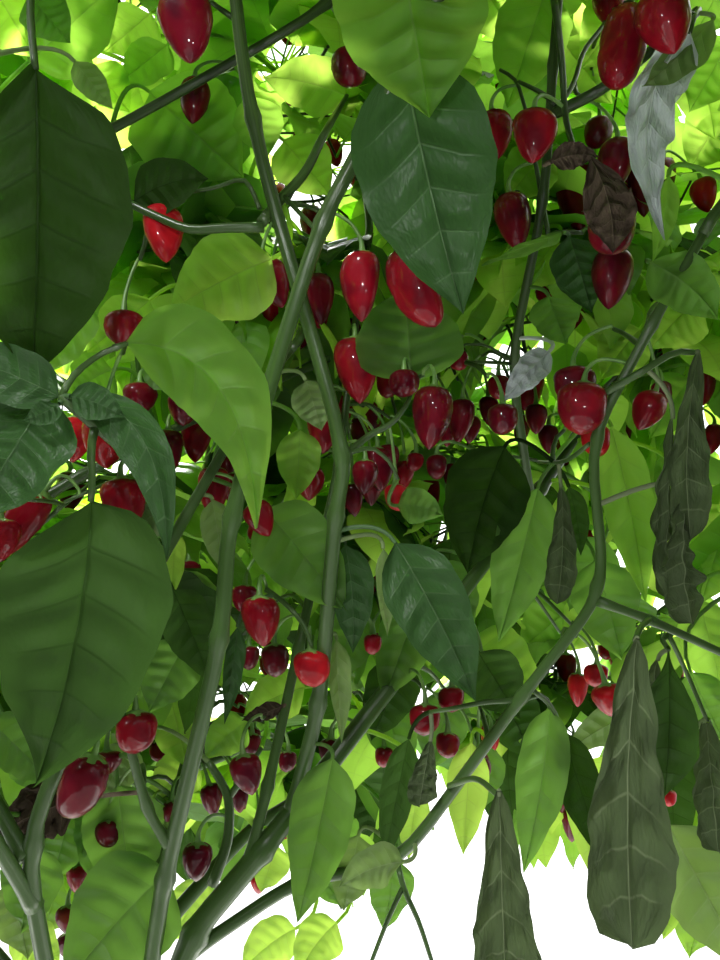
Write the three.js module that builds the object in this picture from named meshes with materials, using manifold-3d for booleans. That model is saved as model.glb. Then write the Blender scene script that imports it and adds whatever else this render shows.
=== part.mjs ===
// Chilli pepper plant, about 1.5 m tall: trunk, limbs, and masses of leaves hung with fruit.
// Millimetres, +Z up. The trunk's flat cut at soil level is centred on the origin.
import * as THREE from "three";
import Module from "manifold-3d";

const wasm = await Module();
wasm.setup();

// Trunk
const TRUNK = {
  route: [[0, 0, 0], [6, 3, 120], [-5, 6, 265], [0, 0, 396]],
  base: 15.5,
  top: 12,
  flare: 12,
  flareHeight: 24,
  lobes: 5,
  lobeDepth: 0.16,
  sides: 12,
  heights: [0, 10, 30, 60, 120, 195, 265, 330, 396],
  crownRise: 5,
};

// Limbs
const LIMB_SIDES = 5;
const CLEARANCE = 0.35;
const SEAM = 0.3;

// Limbs with a route of their own, from the point where each leaves its parent to its tip.
const ROUTED_LIMBS = [
  {
    name: "limb_right_main",
    parent: "trunk",
    radii: [8.8, 4.6],
    route: [
      [0, 0, 390], [22, -23, 459], [60, -30, 501],
      [148, -19, 610], [237, -11, 722], [293, 10, 803],
    ],
  },
  {
    name: "limb_leader",
    parent: "trunk",
    radii: [9, 4],
    route: [
      [-2, 4, 372], [-14, 36, 470], [8, 78, 620],
      [-16, 96, 780], [12, 84, 960], [4, 66, 1170],
    ],
  },
  {
    name: "limb_left_front",
    parent: "trunk",
    radii: [6, 4],
    route: [
      [0, -3, 366], [4, -33, 436], [13, -57, 489], [46, -123, 600],
      [51, -151, 655], [96, -224, 768], [120, -250, 800], [150, -296, 832],
    ],
  },
  {
    name: "limb_left",
    parent: "trunk",
    radii: [6, 3.2],
    route: [
      [-3, 0, 348], [-34, -44, 414], [-42, -108, 508],
      [-6, -130, 594], [58, -117, 745], [74, -112, 772],
    ],
  },
  {
    name: "limb_centre",
    parent: "limb_right_main",
    radii: [5.4, 3.8],
    route: [
      [76, -27, 520], [92, -60, 578], [101, -126, 661],
      [107, -148, 688], [62, -230, 824], [50, -276, 924],
    ],
  },
  {
    name: "limb_centre_back",
    parent: "limb_right_main",
    radii: [4, 2.8],
    route: [
      [52, -28, 492], [62, -37, 532], [78, -51, 607],
      [102, -74, 717], [110, -84, 800], [119, -80, 872],
    ],
  },
  {
    name: "limb_left_front_side",
    parent: "limb_left_front",
    radii: [3.4, 2.6],
    route: [[17, -66, 504], [7, -81, 522], [-6, -112, 576]],
  },
  {
    name: "limb_left_rear",
    parent: "limb_left",
    radii: [4.6, 3],
    route: [
      [-42, -104, 502], [-102, -92, 575], [-113, -90, 650],
      [-48, -89, 702], [82, -62, 791], [150, -40, 830],
    ],
  },
  {
    name: "limb_upper_left",
    parent: "limb_left_rear",
    radii: [4.2, 3.2],
    route: [
      [-112, -90, 640], [-141, -105, 742], [-135, -138, 851],
      [-29, -171, 877], [100, -212, 926], [132, -214, 990],
    ],
  },
  {
    name: "limb_right",
    parent: "limb_right_main",
    radii: [4.6, 3],
    route: [
      [19, -19, 448], [79, -12, 485], [135, -26, 493], [198, -81, 576],
      [240, -113, 627], [230, -150, 695], [256, -186, 742], [278, -207, 778],
    ],
  },
  {
    name: "limb_right_side",
    parent: "limb_right",
    radii: [3, 2.4],
    route: [[236, -111, 622], [262, -112, 612], [325, -106, 583]],
  },
  {
    name: "limb_top_right",
    parent: "limb_right_main",
    radii: [4, 3],
    route: [[230, -12, 713], [205, -96, 771], [216, -164, 835], [216, -208, 889], [220, -246, 954]],
  },
];

// Limbs that a mass calls for: the share of the parent's length where each leaves it, and its radii.
const REACHING_LIMBS = [
  { name: "limb_low_back_right", parent: "limb_leader", share: 0.1, radii: [6, 3.6] },
  { name: "limb_low_back", parent: "limb_leader", share: 0.17, radii: [5.5, 3.4] },
  { name: "limb_low_back_left", parent: "limb_leader", share: 0.07, radii: [5.6, 3.4] },
  { name: "limb_low_left", parent: "limb_left", share: 0.2, radii: [5, 3.4] },
  { name: "limb_low_front_left", parent: "limb_left", share: 0.34, radii: [4.6, 3.2] },
  { name: "limb_inner_right", parent: "limb_leader", share: 0.29, radii: [4.4, 3] },
  { name: "limb_inner_left", parent: "limb_leader", share: 0.24, radii: [4.4, 3] },
  { name: "limb_back_right", parent: "limb_leader", share: 0.36, radii: [5.4, 3.4] },
  { name: "limb_back", parent: "limb_leader", share: 0.44, radii: [5, 3.4] },
  { name: "limb_back_left", parent: "limb_leader", share: 0.4, radii: [5.4, 3.4] },
  { name: "limb_side_left", parent: "limb_upper_left", share: 0.1, radii: [4, 3] },
  { name: "limb_front_left", parent: "limb_upper_left", share: 0.34, radii: [4, 3] },
  { name: "limb_upper_right", parent: "limb_leader", share: 0.66, radii: [4.8, 3.2] },
  { name: "limb_upper_back", parent: "limb_leader", share: 0.72, radii: [4.6, 3.2] },
  { name: "limb_upper_side_left", parent: "limb_leader", share: 0.62, radii: [4.8, 3.2] },
  { name: "limb_upper_front_left", parent: "limb_leader", share: 0.78, radii: [4.4, 3] },
];
const LIFT = 0.34;
const KINK = 0.05;
const ENTRY = 0.52;

// Masses: the centre and radius of each one's space, and the limb that feeds it.
const MASSES = [
  { name: "foliage_low_right", limb: "limb_right_side", centre: [452, -92, 640], radius: 168 },
  { name: "foliage_low_back_right", limb: "limb_low_back_right", centre: [345, 275, 640], radius: 185 },
  { name: "foliage_low_back", limb: "limb_low_back", centre: [30, 395, 600], radius: 190 },
  { name: "foliage_low_back_left", limb: "limb_low_back_left", centre: [-290, 270, 610], radius: 188 },
  { name: "foliage_low_left", limb: "limb_low_left", centre: [-420, -40, 640], radius: 188 },
  { name: "foliage_low_front_left", limb: "limb_low_front_left", centre: [-270, -320, 660], radius: 180 },
  { name: "foliage_low_front", limb: "limb_left_front_side", centre: [-60, -95, 640], radius: 125 },
  { name: "foliage_inner_right", limb: "limb_inner_right", centre: [140, 150, 770], radius: 165 },
  { name: "foliage_inner_left", limb: "limb_inner_left", centre: [-165, 110, 650], radius: 170 },
  { name: "foliage_right", limb: "limb_right_main", centre: [412, 40, 905], radius: 185 },
  { name: "foliage_front_right", limb: "limb_right", centre: [402, -262, 865], radius: 178 },
  { name: "foliage_back_right", limb: "limb_back_right", centre: [300, 335, 905], radius: 185 },
  { name: "foliage_back", limb: "limb_back", centre: [-15, 425, 910], radius: 185 },
  { name: "foliage_back_left", limb: "limb_back_left", centre: [-325, 290, 915], radius: 188 },
  { name: "foliage_left", limb: "limb_side_left", centre: [-430, -10, 930], radius: 188 },
  { name: "foliage_front_left", limb: "limb_front_left", centre: [-300, -300, 950], radius: 185 },
  { name: "foliage_front", limb: "limb_left_front", centre: [150, -428, 925], radius: 170 },
  { name: "foliage_centre_low", limb: "limb_left", centre: [30, -40, 860], radius: 125 },
  { name: "foliage_centre_right", limb: "limb_left_rear", centre: [225, -20, 900], radius: 130 },
  { name: "foliage_centre", limb: "limb_centre_back", centre: [110, -50, 1010], radius: 140 },
  { name: "foliage_upper_front", limb: "limb_centre", centre: [-10, -330, 1090], radius: 175 },
  { name: "foliage_upper_front_right", limb: "limb_top_right", centre: [265, -265, 1110], radius: 172 },
  { name: "foliage_upper_centre", limb: "limb_upper_left", centre: [125, -140, 1215], radius: 160 },
  { name: "foliage_upper_right", limb: "limb_upper_right", centre: [315, 110, 1155], radius: 178 },
  { name: "foliage_upper_back", limb: "limb_upper_back", centre: [60, 300, 1190], radius: 185 },
  { name: "foliage_upper_left", limb: "limb_upper_side_left", centre: [-290, 90, 1175], radius: 182 },
  { name: "foliage_upper_front_left", limb: "limb_upper_front_left", centre: [-190, -170, 1210], radius: 172 },
  { name: "foliage_top", limb: "limb_leader", centre: [15, 70, 1330], radius: 172 },
];
const FLATTENING = 0.96;
const CELL_MARGIN = 0.6;
const TARGET_MARGIN = 22;
const TARGET_SHARE = 0.56;
const GOLDEN_ANGLE = Math.PI * (3 - Math.sqrt(5));
const SEED = 20;
const TIPS_PER_MASS = 5;
const STEM_LENGTH = 16;
const FORK_SHARE = 0.52;
const JITTER = 0.1;
const TWIG_TRIES = 4;
const TWIG_TIP = 2.3;
const TWIG_POWER = 0.22;
const TWIG_SIDES = 3;
const SIDE_TWIG = 0.55;

// Leaves: a keeled blade skinned over triangular stations along an arc.
const LEAF_LENGTH = 142;
const LEAF_SPREAD = 0.14;
const LEAF_SPACING = 60;
const LEAF_MIDDLE = 0.6;
const LEAF_TRIES = 8;
const ROOT_OVERLAP = 14;
const LEAF_STATIONS = [
  { at: 0, half: 0.006, fold: 0, keel: 0.011 },
  { at: 0.46, half: 0.275, fold: 0.045, keel: 0.02 },
  { at: 0.76, half: 0.185, fold: 0.03, keel: 0.016 },
];
const SIDE_LEAF_SHARE = 0.6;
const FRUIT_AT = 0.8;

// Fruit: a drop with a beak, hung from a curved stalk.
const FRUIT_SHARE = 0.2;
const FRUIT_SIDES = 5;
const FRUIT_PROFILE = [[0, 1.2], [17, 1.8], [23, 10], [39, 10.5], [58, 0]];
const FRUIT_OUT = 12;

// Hollow under the front of the crown: a pyramid between its lower leaves, from an apex inwards.
const HOLLOW = {
  apex: [114, -505, 530],
  pitch: (22 * Math.PI) / 180,
  depth: 380,
  sideSlope: 0.5,
  riseSlope: 0.66,
  lip: 20,
};

const COLOURS = {
  trunk: 0x6f6a45,
  limb: 0x5f8a3c,
  foliage: 0x4f8f2a,
};

const vec = (point) => new THREE.Vector3(...point);

// A number from 0 to 1 that depends only on its keys.
function chance(...keys) {
  let h = 2166136261;
  for (const key of keys) {
    h = Math.imul(h ^ key, 16777619);
    h ^= h >>> 15;
    h = Math.imul(h, 2246822519);
    h ^= h >>> 13;
  }
  return (h >>> 0) / 4294967296;
}

function centredChance(...keys) {
  return 2 * chance(...keys) - 1;
}

// A closed geometry over rings of points; a ring of one point closes it to a tip.
function skin(rings) {
  const sides = rings[0].length;
  const last = rings[rings.length - 1];
  const index = [];
  for (let r = 0; r + 1 < rings.length; r++) {
    const a = r * sides;
    const b = a + sides;
    for (let k = 0; k < sides; k++) {
      const next = (k + 1) % sides;
      if (rings[r + 1].length === 1) index.push(a + k, a + next, b);
      else index.push(a + k, a + next, b + next, a + k, b + next, b + k);
    }
  }
  for (let k = 1; k + 1 < sides; k++) {
    index.push(0, k + 1, k);
    const end = (rings.length - 1) * sides;
    if (last.length > 1) index.push(end, end + k, end + k + 1);
  }
  const geometry = new THREE.BufferGeometry().setFromPoints(rings.flat());
  geometry.setIndex(index);
  return geometry;
}

function solidOf(geometry) {
  return new wasm.Manifold(
    new wasm.Mesh({
      numProp: 3,
      vertProperties: new Float32Array(geometry.getAttribute("position").array),
      triVerts: new Uint32Array(geometry.getIndex().array),
    }),
  );
}

function geometryOf(solid) {
  const mesh = solid.getMesh();
  const positions = new Float32Array(mesh.numVert * 3);
  for (let i = 0; i < mesh.numVert; i++) {
    const first = i * mesh.numProp;
    positions.set(mesh.vertProperties.subarray(first, first + 3), i * 3);
  }
  const geometry = new THREE.BufferGeometry();
  geometry.setAttribute("position", new THREE.BufferAttribute(positions, 3));
  geometry.setIndex(new THREE.BufferAttribute(new Uint32Array(mesh.triVerts), 1));
  return geometry;
}

// The largest closed body, which drops loose scraps and fills sealed hollows.
function mainBody(solid) {
  const bodies = solid.decompose();
  bodies.sort((a, b) => b.volume() - a.volume());
  return bodies[0];
}

function runLengths(path) {
  const lengths = [0];
  for (let i = 1; i < path.length; i++) {
    lengths.push(lengths[i - 1] + path[i].distanceTo(path[i - 1]));
  }
  return lengths;
}

function pointAt(path, share) {
  const lengths = runLengths(path);
  const wanted = share * lengths[lengths.length - 1];
  let i = 1;
  while (i + 1 < path.length && lengths[i] < wanted) i++;
  const part = (wanted - lengths[i - 1]) / (lengths[i] - lengths[i - 1]);
  return path[i - 1].clone().lerp(path[i], part);
}

function nearestOn(path, point) {
  let best = null;
  for (let i = 1; i < path.length; i++) {
    const span = new THREE.Line3(path[i - 1], path[i]);
    const near = span.closestPointToPoint(point, true, new THREE.Vector3());
    if (!best || near.distanceTo(point) < best.distanceTo(point)) best = near;
  }
  return best;
}

function headingAt(path, i) {
  const before = path[Math.max(i - 1, 0)];
  const after = path[Math.min(i + 1, path.length - 1)];
  return after.clone().sub(before).normalize();
}

// Rings square to the path, carried along it without twist.
function tubeRings(path, radii, sides, extra = 0) {
  const lengths = runLengths(path);
  const total = lengths[lengths.length - 1];
  let side = new THREE.Vector3(1, 0, 0);
  if (Math.abs(headingAt(path, 0).x) > 0.8) side = new THREE.Vector3(0, 1, 0);
  return path.map((centre, i) => {
    const heading = headingAt(path, i);
    side = side.clone().addScaledVector(heading, -side.dot(heading)).normalize();
    const up = heading.clone().cross(side);
    const radius = THREE.MathUtils.lerp(radii[0], radii[1], lengths[i] / total) + extra;
    let end = 0;
    if (i === 0) end = -extra;
    if (i === path.length - 1) end = extra;
    return Array.from({ length: sides }, (_, k) => {
      const angle = (2 * Math.PI * k) / sides;
      return centre.clone()
        .addScaledVector(heading, end)
        .addScaledVector(side, radius * Math.cos(angle))
        .addScaledVector(up, radius * Math.sin(angle));
    });
  });
}

// The trunk's level rings: a flared, lobed foot, a slow taper and a low domed top.
function trunkSolid(extra) {
  const route = TRUNK.route.map(vec);
  const height = TRUNK.heights[TRUNK.heights.length - 1];
  const rings = TRUNK.heights.map((z) => {
    const centre = trunkCentre(route, z);
    const foot = Math.exp(-z / TRUNK.flareHeight);
    const shaft = THREE.MathUtils.lerp(TRUNK.base, TRUNK.top, z / height);
    const radius = shaft + TRUNK.flare * foot + extra;
    return Array.from({ length: TRUNK.sides }, (_, k) => {
      const angle = (2 * Math.PI * k) / TRUNK.sides;
      const lobe = 1 + TRUNK.lobeDepth * foot * Math.cos(TRUNK.lobes * angle);
      return new THREE.Vector3(
        centre.x + radius * lobe * Math.cos(angle),
        centre.y + radius * lobe * Math.sin(angle),
        z,
      );
    });
  });
  rings.push([trunkCentre(route, height).setZ(height + TRUNK.crownRise + extra)]);
  return solidOf(skin(rings));
}

function trunkCentre(route, z) {
  let i = 1;
  while (i + 1 < route.length && route[i].z < z) i++;
  return route[i - 1].clone().lerp(route[i], (z - route[i - 1].z) / (route[i].z - route[i - 1].z));
}

// The route of a limb towards its mass: it lifts away from the parent and kinks at its nodes.
function reachingRoute(limb, parentPath, mass, seed) {
  const start = pointAt(parentPath, limb.share);
  const centre = vec(mass.centre);
  const away = centre.clone().sub(start);
  const entry = centre.clone().addScaledVector(away.clone().normalize(), -ENTRY * mass.radius);
  const lift = new THREE.Vector3(0, 0, away.length() * LIFT);
  const bend = start.clone().lerp(entry, 0.4).add(lift.multiplyScalar(0.5));
  const curve = new THREE.QuadraticBezierCurve3(start, bend, entry);
  const across = new THREE.Vector3(-away.y, away.x, 0).normalize();
  return curve.getPoints(4).map((point, i, all) => {
    if (i === 0 || i === all.length - 1) return point;
    const turn = (i % 2 ? 1 : -1) * KINK * away.length() * (0.5 + chance(seed, i));
    return point.addScaledVector(across, turn);
  });
}

function limbPaths() {
  const paths = new Map([["trunk", TRUNK.route.map(vec)]]);
  for (const limb of ROUTED_LIMBS) {
    const route = limb.route.map(vec);
    route[0] = nearestOn(paths.get(limb.parent), route[0]);
    paths.set(limb.name, route);
  }
  REACHING_LIMBS.forEach((limb, i) => {
    const mass = MASSES.find((m) => m.limb === limb.name);
    paths.set(limb.name, reachingRoute(limb, paths.get(limb.parent), mass, i + 1));
  });
  return paths;
}

// Trunk and limbs, each cut clear of those before it, and one swollen solid of them all.
function makeLimbs(paths) {
  const solids = new Map([["trunk", trunkSolid(0)]]);
  let swollen = trunkSolid(CLEARANCE);
  for (const limb of [...ROUTED_LIMBS, ...REACHING_LIMBS]) {
    const path = paths.get(limb.name);
    const plain = solidOf(skin(tubeRings(path, limb.radii, LIMB_SIDES)));
    solids.set(limb.name, mainBody(plain.subtract(swollen)));
    swollen = swollen.add(solidOf(skin(tubeRings(path, limb.radii, LIMB_SIDES, SEAM))));
  }
  return { solids, swollen };
}

// The planes that part a mass's space from its neighbours'.
function cellPlanes(mass) {
  const centre = vec(mass.centre);
  return MASSES.filter((other) => other !== mass).map((other) => {
    const normal = vec(other.centre).sub(centre);
    const apart = normal.length();
    normal.normalize();
    const reach = (apart * mass.radius) / (mass.radius + other.radius) - CELL_MARGIN;
    return { normal, limit: normal.dot(centre) + reach };
  });
}

function inSpace(mass, point, margin) {
  const away = point.clone().sub(mass.at);
  away.z /= FLATTENING;
  if (away.length() > mass.radius - margin) return false;
  return mass.planes.every((plane) => plane.normal.dot(point) <= plane.limit - margin);
}

function inHollow(point) {
  const away = point.clone().sub(vec(HOLLOW.apex));
  const depth = away.y * Math.cos(HOLLOW.pitch) + away.z * Math.sin(HOLLOW.pitch);
  const rise = away.z * Math.cos(HOLLOW.pitch) - away.y * Math.sin(HOLLOW.pitch);
  if (depth < -HOLLOW.lip || depth > HOLLOW.depth) return false;
  const room = Math.max(depth, 0);
  return (
    Math.abs(away.x) < room * HOLLOW.sideSlope + HOLLOW.lip &&
    Math.abs(rise) < room * HOLLOW.riseSlope + HOLLOW.lip
  );
}

// Evenly spread points through a mass's space, drawn in until each lies inside it.
function targetPoints(mass, count) {
  return Array.from({ length: count }, (_, i) => {
    const level = 1 - (2 * i + 1) / count;
    const angle = i * GOLDEN_ANGLE + 2 * Math.PI * chance(mass.seed, 7);
    const ring = Math.sqrt(1 - level * level);
    const spread = Math.cbrt(0.35 + 0.65 * chance(mass.seed, 11, i));
    const away = new THREE.Vector3(ring * Math.cos(angle), ring * Math.sin(angle), level * FLATTENING);
    away.multiplyScalar(spread * TARGET_SHARE * mass.radius);
    const point = mass.at.clone().add(away);
    for (let step = 0; step < 12 && !inSpace(mass, point, TARGET_MARGIN); step++) {
      point.lerp(mass.at, 0.15);
    }
    return point;
  });
}

function centroid(points) {
  const sum = new THREE.Vector3();
  points.forEach((point) => sum.add(point));
  return sum.divideScalar(points.length);
}

// Parts a group of points in two, across the axis along which it spreads most.
function halves(points) {
  const middle = centroid(points);
  const axes = ["x", "y", "z"];
  const spread = axes.map((axis) =>
    points.reduce((sum, point) => sum + (point[axis] - middle[axis]) ** 2, 0),
  );
  const widest = axes[spread.indexOf(Math.max(...spread))];
  const sorted = [...points].sort((a, b) => a[widest] - b[widest]);
  const cut = Math.ceil(sorted.length / 2);
  return [sorted.slice(0, cut), sorted.slice(cut)];
}

function twigRadius(tips) {
  return TWIG_TIP * tips ** TWIG_POWER;
}

function twigSolid(path, radii) {
  return solidOf(skin(tubeRings(path, radii, TWIG_SIDES)));
}

// A twig that runs on into the leaf at its tip.
function leafyTwigSolid(path, radii, leafStations) {
  const rings = tubeRings(path, radii, TWIG_SIDES);
  const end = rings[rings.length - 1];
  const shift = nearestShift(leafStations[0], end);
  const blade = leafStations.slice(1).map((ring) => turned(ring, shift));
  return solidOf(skin([...rings, ...blade]));
}

function turned(ring, shift) {
  return [...ring.slice(shift), ...ring.slice(0, shift)];
}

// How far round a ring starts so that its points lie nearest to another ring's.
function nearestShift(ring, other) {
  const gaps = ring.map((_, shift) =>
    turned(ring, shift).reduce((sum, point, k) => sum + point.distanceTo(other[k]), 0),
  );
  return gaps.indexOf(Math.min(...gaps));
}

// A leaf's stations: each a left edge, a right edge and a keel, and last the tip.
function leafRings(leaf) {
  const level = new THREE.Vector3(-Math.sin(leaf.azimuth), Math.cos(leaf.azimuth), 0);
  const cos = Math.cos(leaf.roll);
  const sin = Math.sin(leaf.roll);
  const rings = LEAF_STATIONS.map((station) => {
    const { centre, normal } = leafFrame(leaf, station.at);
    const side = level.clone().multiplyScalar(cos).addScaledVector(normal, sin);
    const up = normal.clone().multiplyScalar(cos).addScaledVector(level, -sin);
    const edge = centre.clone().addScaledVector(up, station.fold * leaf.length);
    return [
      edge.clone().addScaledVector(side, station.half * leaf.length),
      edge.clone().addScaledVector(side, -station.half * leaf.length),
      centre.clone().addScaledVector(up, -station.keel * leaf.length),
    ];
  });
  rings.push([leafFrame(leaf, 1).centre]);
  return rings;
}

// The point and the upper normal on a leaf's arc, which droops evenly from root to tip.
function leafFrame(leaf, at) {
  const pitch = leaf.pitch - leaf.droop * at;
  const out = (Math.sin(leaf.pitch) - Math.sin(pitch)) / leaf.droop;
  const rise = (Math.cos(pitch) - Math.cos(leaf.pitch)) / leaf.droop;
  const along = leaf.length * out;
  const lifted = leaf.length * rise;
  const east = Math.cos(leaf.azimuth);
  const north = Math.sin(leaf.azimuth);
  const centre = leaf.root.clone().add(new THREE.Vector3(along * east, along * north, lifted));
  const normal = new THREE.Vector3(-Math.sin(pitch) * east, -Math.sin(pitch) * north, Math.cos(pitch));
  return { centre, normal };
}

function leafAt(mass, root, node, slot, attempt) {
  const keys = [mass.seed, node, slot, attempt];
  const away = root.clone().sub(mass.at);
  const outward = Math.atan2(away.y, away.x);
  const upward = Math.atan2(away.z, Math.hypot(away.x, away.y));
  return {
    root,
    azimuth: outward + 2.4 * centredChance(...keys, 1),
    pitch: 0.15 + 0.55 * upward + 0.45 * centredChance(...keys, 2),
    droop: 1.15 + 0.5 * centredChance(...keys, 3),
    roll: 0.4 * centredChance(...keys, 4),
    length: LEAF_LENGTH * (1 + LEAF_SPREAD * centredChance(...keys, 5)),
  };
}

function fruitRings(fruit) {
  const rings = [];
  for (const [down, radius] of FRUIT_PROFILE) {
    const bend = 1 - Math.exp(-down / 9);
    const centre = fruit.root.clone().add(
      new THREE.Vector3(
        FRUIT_OUT * bend * Math.cos(fruit.azimuth),
        FRUIT_OUT * bend * Math.sin(fruit.azimuth),
        -down * fruit.scale,
      ),
    );
    rings.push(radius === 0 ? [centre] : dropRing(centre, radius * fruit.scale));
  }
  return rings;
}

// A level ring that runs against the clock, seen from below, for a body skinned downwards.
function dropRing(centre, radius) {
  return Array.from({ length: FRUIT_SIDES }, (_, k) => {
    const angle = (-2 * Math.PI * k) / FRUIT_SIDES;
    return centre.clone().add(new THREE.Vector3(radius * Math.cos(angle), radius * Math.sin(angle), 0));
  });
}

// One mass as it grows: its twigs, its leaves and fruit, and the limbs they keep clear of.
class Growth {
  constructor(mass, obstacles) {
    this.mass = mass;
    this.obstacles = obstacles;
    this.twigs = [];
    this.blades = [];
    this.middles = [];
  }

  touches(solid) {
    return !solid.intersect(this.obstacles).isEmpty();
  }

  fits(rings, solid) {
    const outer = rings.slice(1).flat();
    if (!outer.every((point) => inSpace(this.mass, point, 0) && !inHollow(point))) return false;
    if (this.blades.some((blade) => blade.intersect(solid).volume() > ROOT_OVERLAP)) return false;
    return !this.touches(solid);
  }

  // The first leaf that fits at a root, or none.
  leafFrom(root, node, slot) {
    for (let attempt = 0; attempt < LEAF_TRIES; attempt++) {
      const leaf = leafAt(this.mass, root, node, slot, attempt);
      const middle = leafFrame(leaf, LEAF_MIDDLE).centre;
      if (this.middles.some((other) => other.distanceTo(middle) < LEAF_SPACING)) continue;
      const stations = leafRings(leaf);
      const solid = solidOf(skin(stations));
      if (!this.fits(stations, solid)) continue;
      this.middles.push(middle);
      return { stations, solid };
    }
    return null;
  }

  addLeaf(root, node) {
    const leaf = this.leafFrom(root, node, 0);
    if (leaf) this.blades.push(leaf.solid);
  }

  addFruit(root, node) {
    if (chance(this.mass.seed, node, 31) > FRUIT_SHARE) return;
    const azimuth = 2 * Math.PI * chance(this.mass.seed, node, 32);
    const scale = 0.9 + 0.25 * chance(this.mass.seed, node, 33);
    const rings = fruitRings({ root, azimuth, scale });
    const solid = solidOf(skin(rings));
    if (this.fits(rings, solid)) this.blades.push(solid);
  }

  // The next node on the way to a group of points, or none where every try meets a limb.
  nextNode(from, points, node) {
    const share = points.length === 1 ? 1 : FORK_SHARE;
    const radius = twigRadius(points.length);
    for (let attempt = 0; attempt < TWIG_TRIES; attempt++) {
      const to = from.clone().lerp(centroid(points), share);
      const wander = JITTER * from.distanceTo(to) * (1 + attempt);
      to.x += wander * centredChance(this.mass.seed, node, 21, attempt);
      to.y += wander * centredChance(this.mass.seed, node, 22, attempt);
      to.z += wander * centredChance(this.mass.seed, node, 23, attempt);
      if (!inSpace(this.mass, to, radius)) continue;
      if (!this.touches(twigSolid([from, to], [radius, radius]))) return to;
    }
    return null;
  }

  // Ends a twig at its last node, in a leaf where one fits.
  finish(chain, startRadius, node) {
    const radii = [startRadius, TWIG_TIP];
    const leaf = this.leafFrom(chain[chain.length - 1], node, 1);
    if (leaf) this.blades.push(leafyTwigSolid(chain, radii, leaf.stations));
    else this.twigs.push(twigSolid(chain, radii));
  }

  // Carries one twig on to the last of its points, and starts a side twig wherever they part.
  follow(chain, startRadius, points, node) {
    const from = chain[chain.length - 1];
    const to = this.nextNode(from, points, node);
    if (!to) {
      if (chain.length > 1) this.finish(chain, startRadius, node);
      return;
    }
    chain.push(to);
    this.addLeaf(from.clone().lerp(to, SIDE_LEAF_SHARE), node);
    this.addFruit(from.clone().lerp(to, FRUIT_AT), node);
    if (points.length === 1) {
      this.finish(chain, startRadius, node);
      return;
    }
    const [onward, aside] = halves(points);
    this.follow([to], SIDE_TWIG * twigRadius(points.length), aside, 2 * node + 1);
    this.follow(chain, startRadius, onward, 2 * node);
  }
}

// Grows one mass from its limb's tip: a stem that forks towards points spread through its space.
function growMass(mass, path, limbRadius, obstacles) {
  const growth = new Growth(mass, obstacles);
  const heading = headingAt(path, path.length - 1);
  const start = path[path.length - 1].clone().addScaledVector(heading, CLEARANCE);
  const first = start.clone().addScaledVector(heading, STEM_LENGTH);
  const stemRadius = Math.min(twigRadius(TIPS_PER_MASS), limbRadius);
  growth.follow([start, first], stemRadius, targetPoints(mass, TIPS_PER_MASS), 1);
  return mainBody(wasm.Manifold.union([...growth.twigs, ...growth.blades]));
}

function addNode(group, name, solid, colour, roughness) {
  const material = new THREE.MeshStandardMaterial({ color: colour, roughness, metalness: 0 });
  const mesh = new THREE.Mesh(geometryOf(solid), material);
  mesh.name = name;
  group.add(mesh);
}

function buildPlant() {
  const plant = new THREE.Group();
  const paths = limbPaths();
  const { solids, swollen } = makeLimbs(paths);
  const limbs = [...ROUTED_LIMBS, ...REACHING_LIMBS];
  for (const [name, solid] of solids) {
    const colour = name === "trunk" ? COLOURS.trunk : COLOURS.limb;
    addNode(plant, name, solid, colour, 0.7);
  }
  MASSES.forEach((mass, i) => {
    mass.seed = SEED + i;
    mass.at = vec(mass.centre);
    mass.planes = cellPlanes(mass);
    const limb = limbs.find((row) => row.name === mass.limb);
    const solid = growMass(mass, paths.get(mass.limb), limb.radii[1], swollen);
    addNode(plant, mass.name, solid, COLOURS.foliage, 0.5);
  });
  return plant;
}

export default buildPlant();
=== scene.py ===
"""Chilli pepper plant, dressed for a render: ridged stems, drooping leaves, and glossy red fruit."""
import math

import bpy
import numpy as np
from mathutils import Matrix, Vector


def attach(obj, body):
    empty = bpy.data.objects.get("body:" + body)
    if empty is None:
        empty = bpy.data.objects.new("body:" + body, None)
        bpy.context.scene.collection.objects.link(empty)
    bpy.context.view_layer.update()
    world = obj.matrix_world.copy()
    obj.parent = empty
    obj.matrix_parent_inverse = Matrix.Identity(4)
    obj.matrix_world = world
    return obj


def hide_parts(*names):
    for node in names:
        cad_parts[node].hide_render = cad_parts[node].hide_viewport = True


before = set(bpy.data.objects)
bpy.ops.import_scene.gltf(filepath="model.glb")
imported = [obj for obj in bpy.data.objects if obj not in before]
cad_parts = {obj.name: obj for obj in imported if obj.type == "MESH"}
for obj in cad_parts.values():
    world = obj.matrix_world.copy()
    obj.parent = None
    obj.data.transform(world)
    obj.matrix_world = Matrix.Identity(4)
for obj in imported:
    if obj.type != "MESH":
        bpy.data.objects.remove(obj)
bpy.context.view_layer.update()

# All making is in millimetres; meshes are written in metres.
MM = 0.001

TRUNK_ROUTE = [(0, 0, 0), (6, 3, 120), (-5, 6, 265), (0, 0, 396)]
TRUNK_RADII = (15.5, 12)

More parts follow.
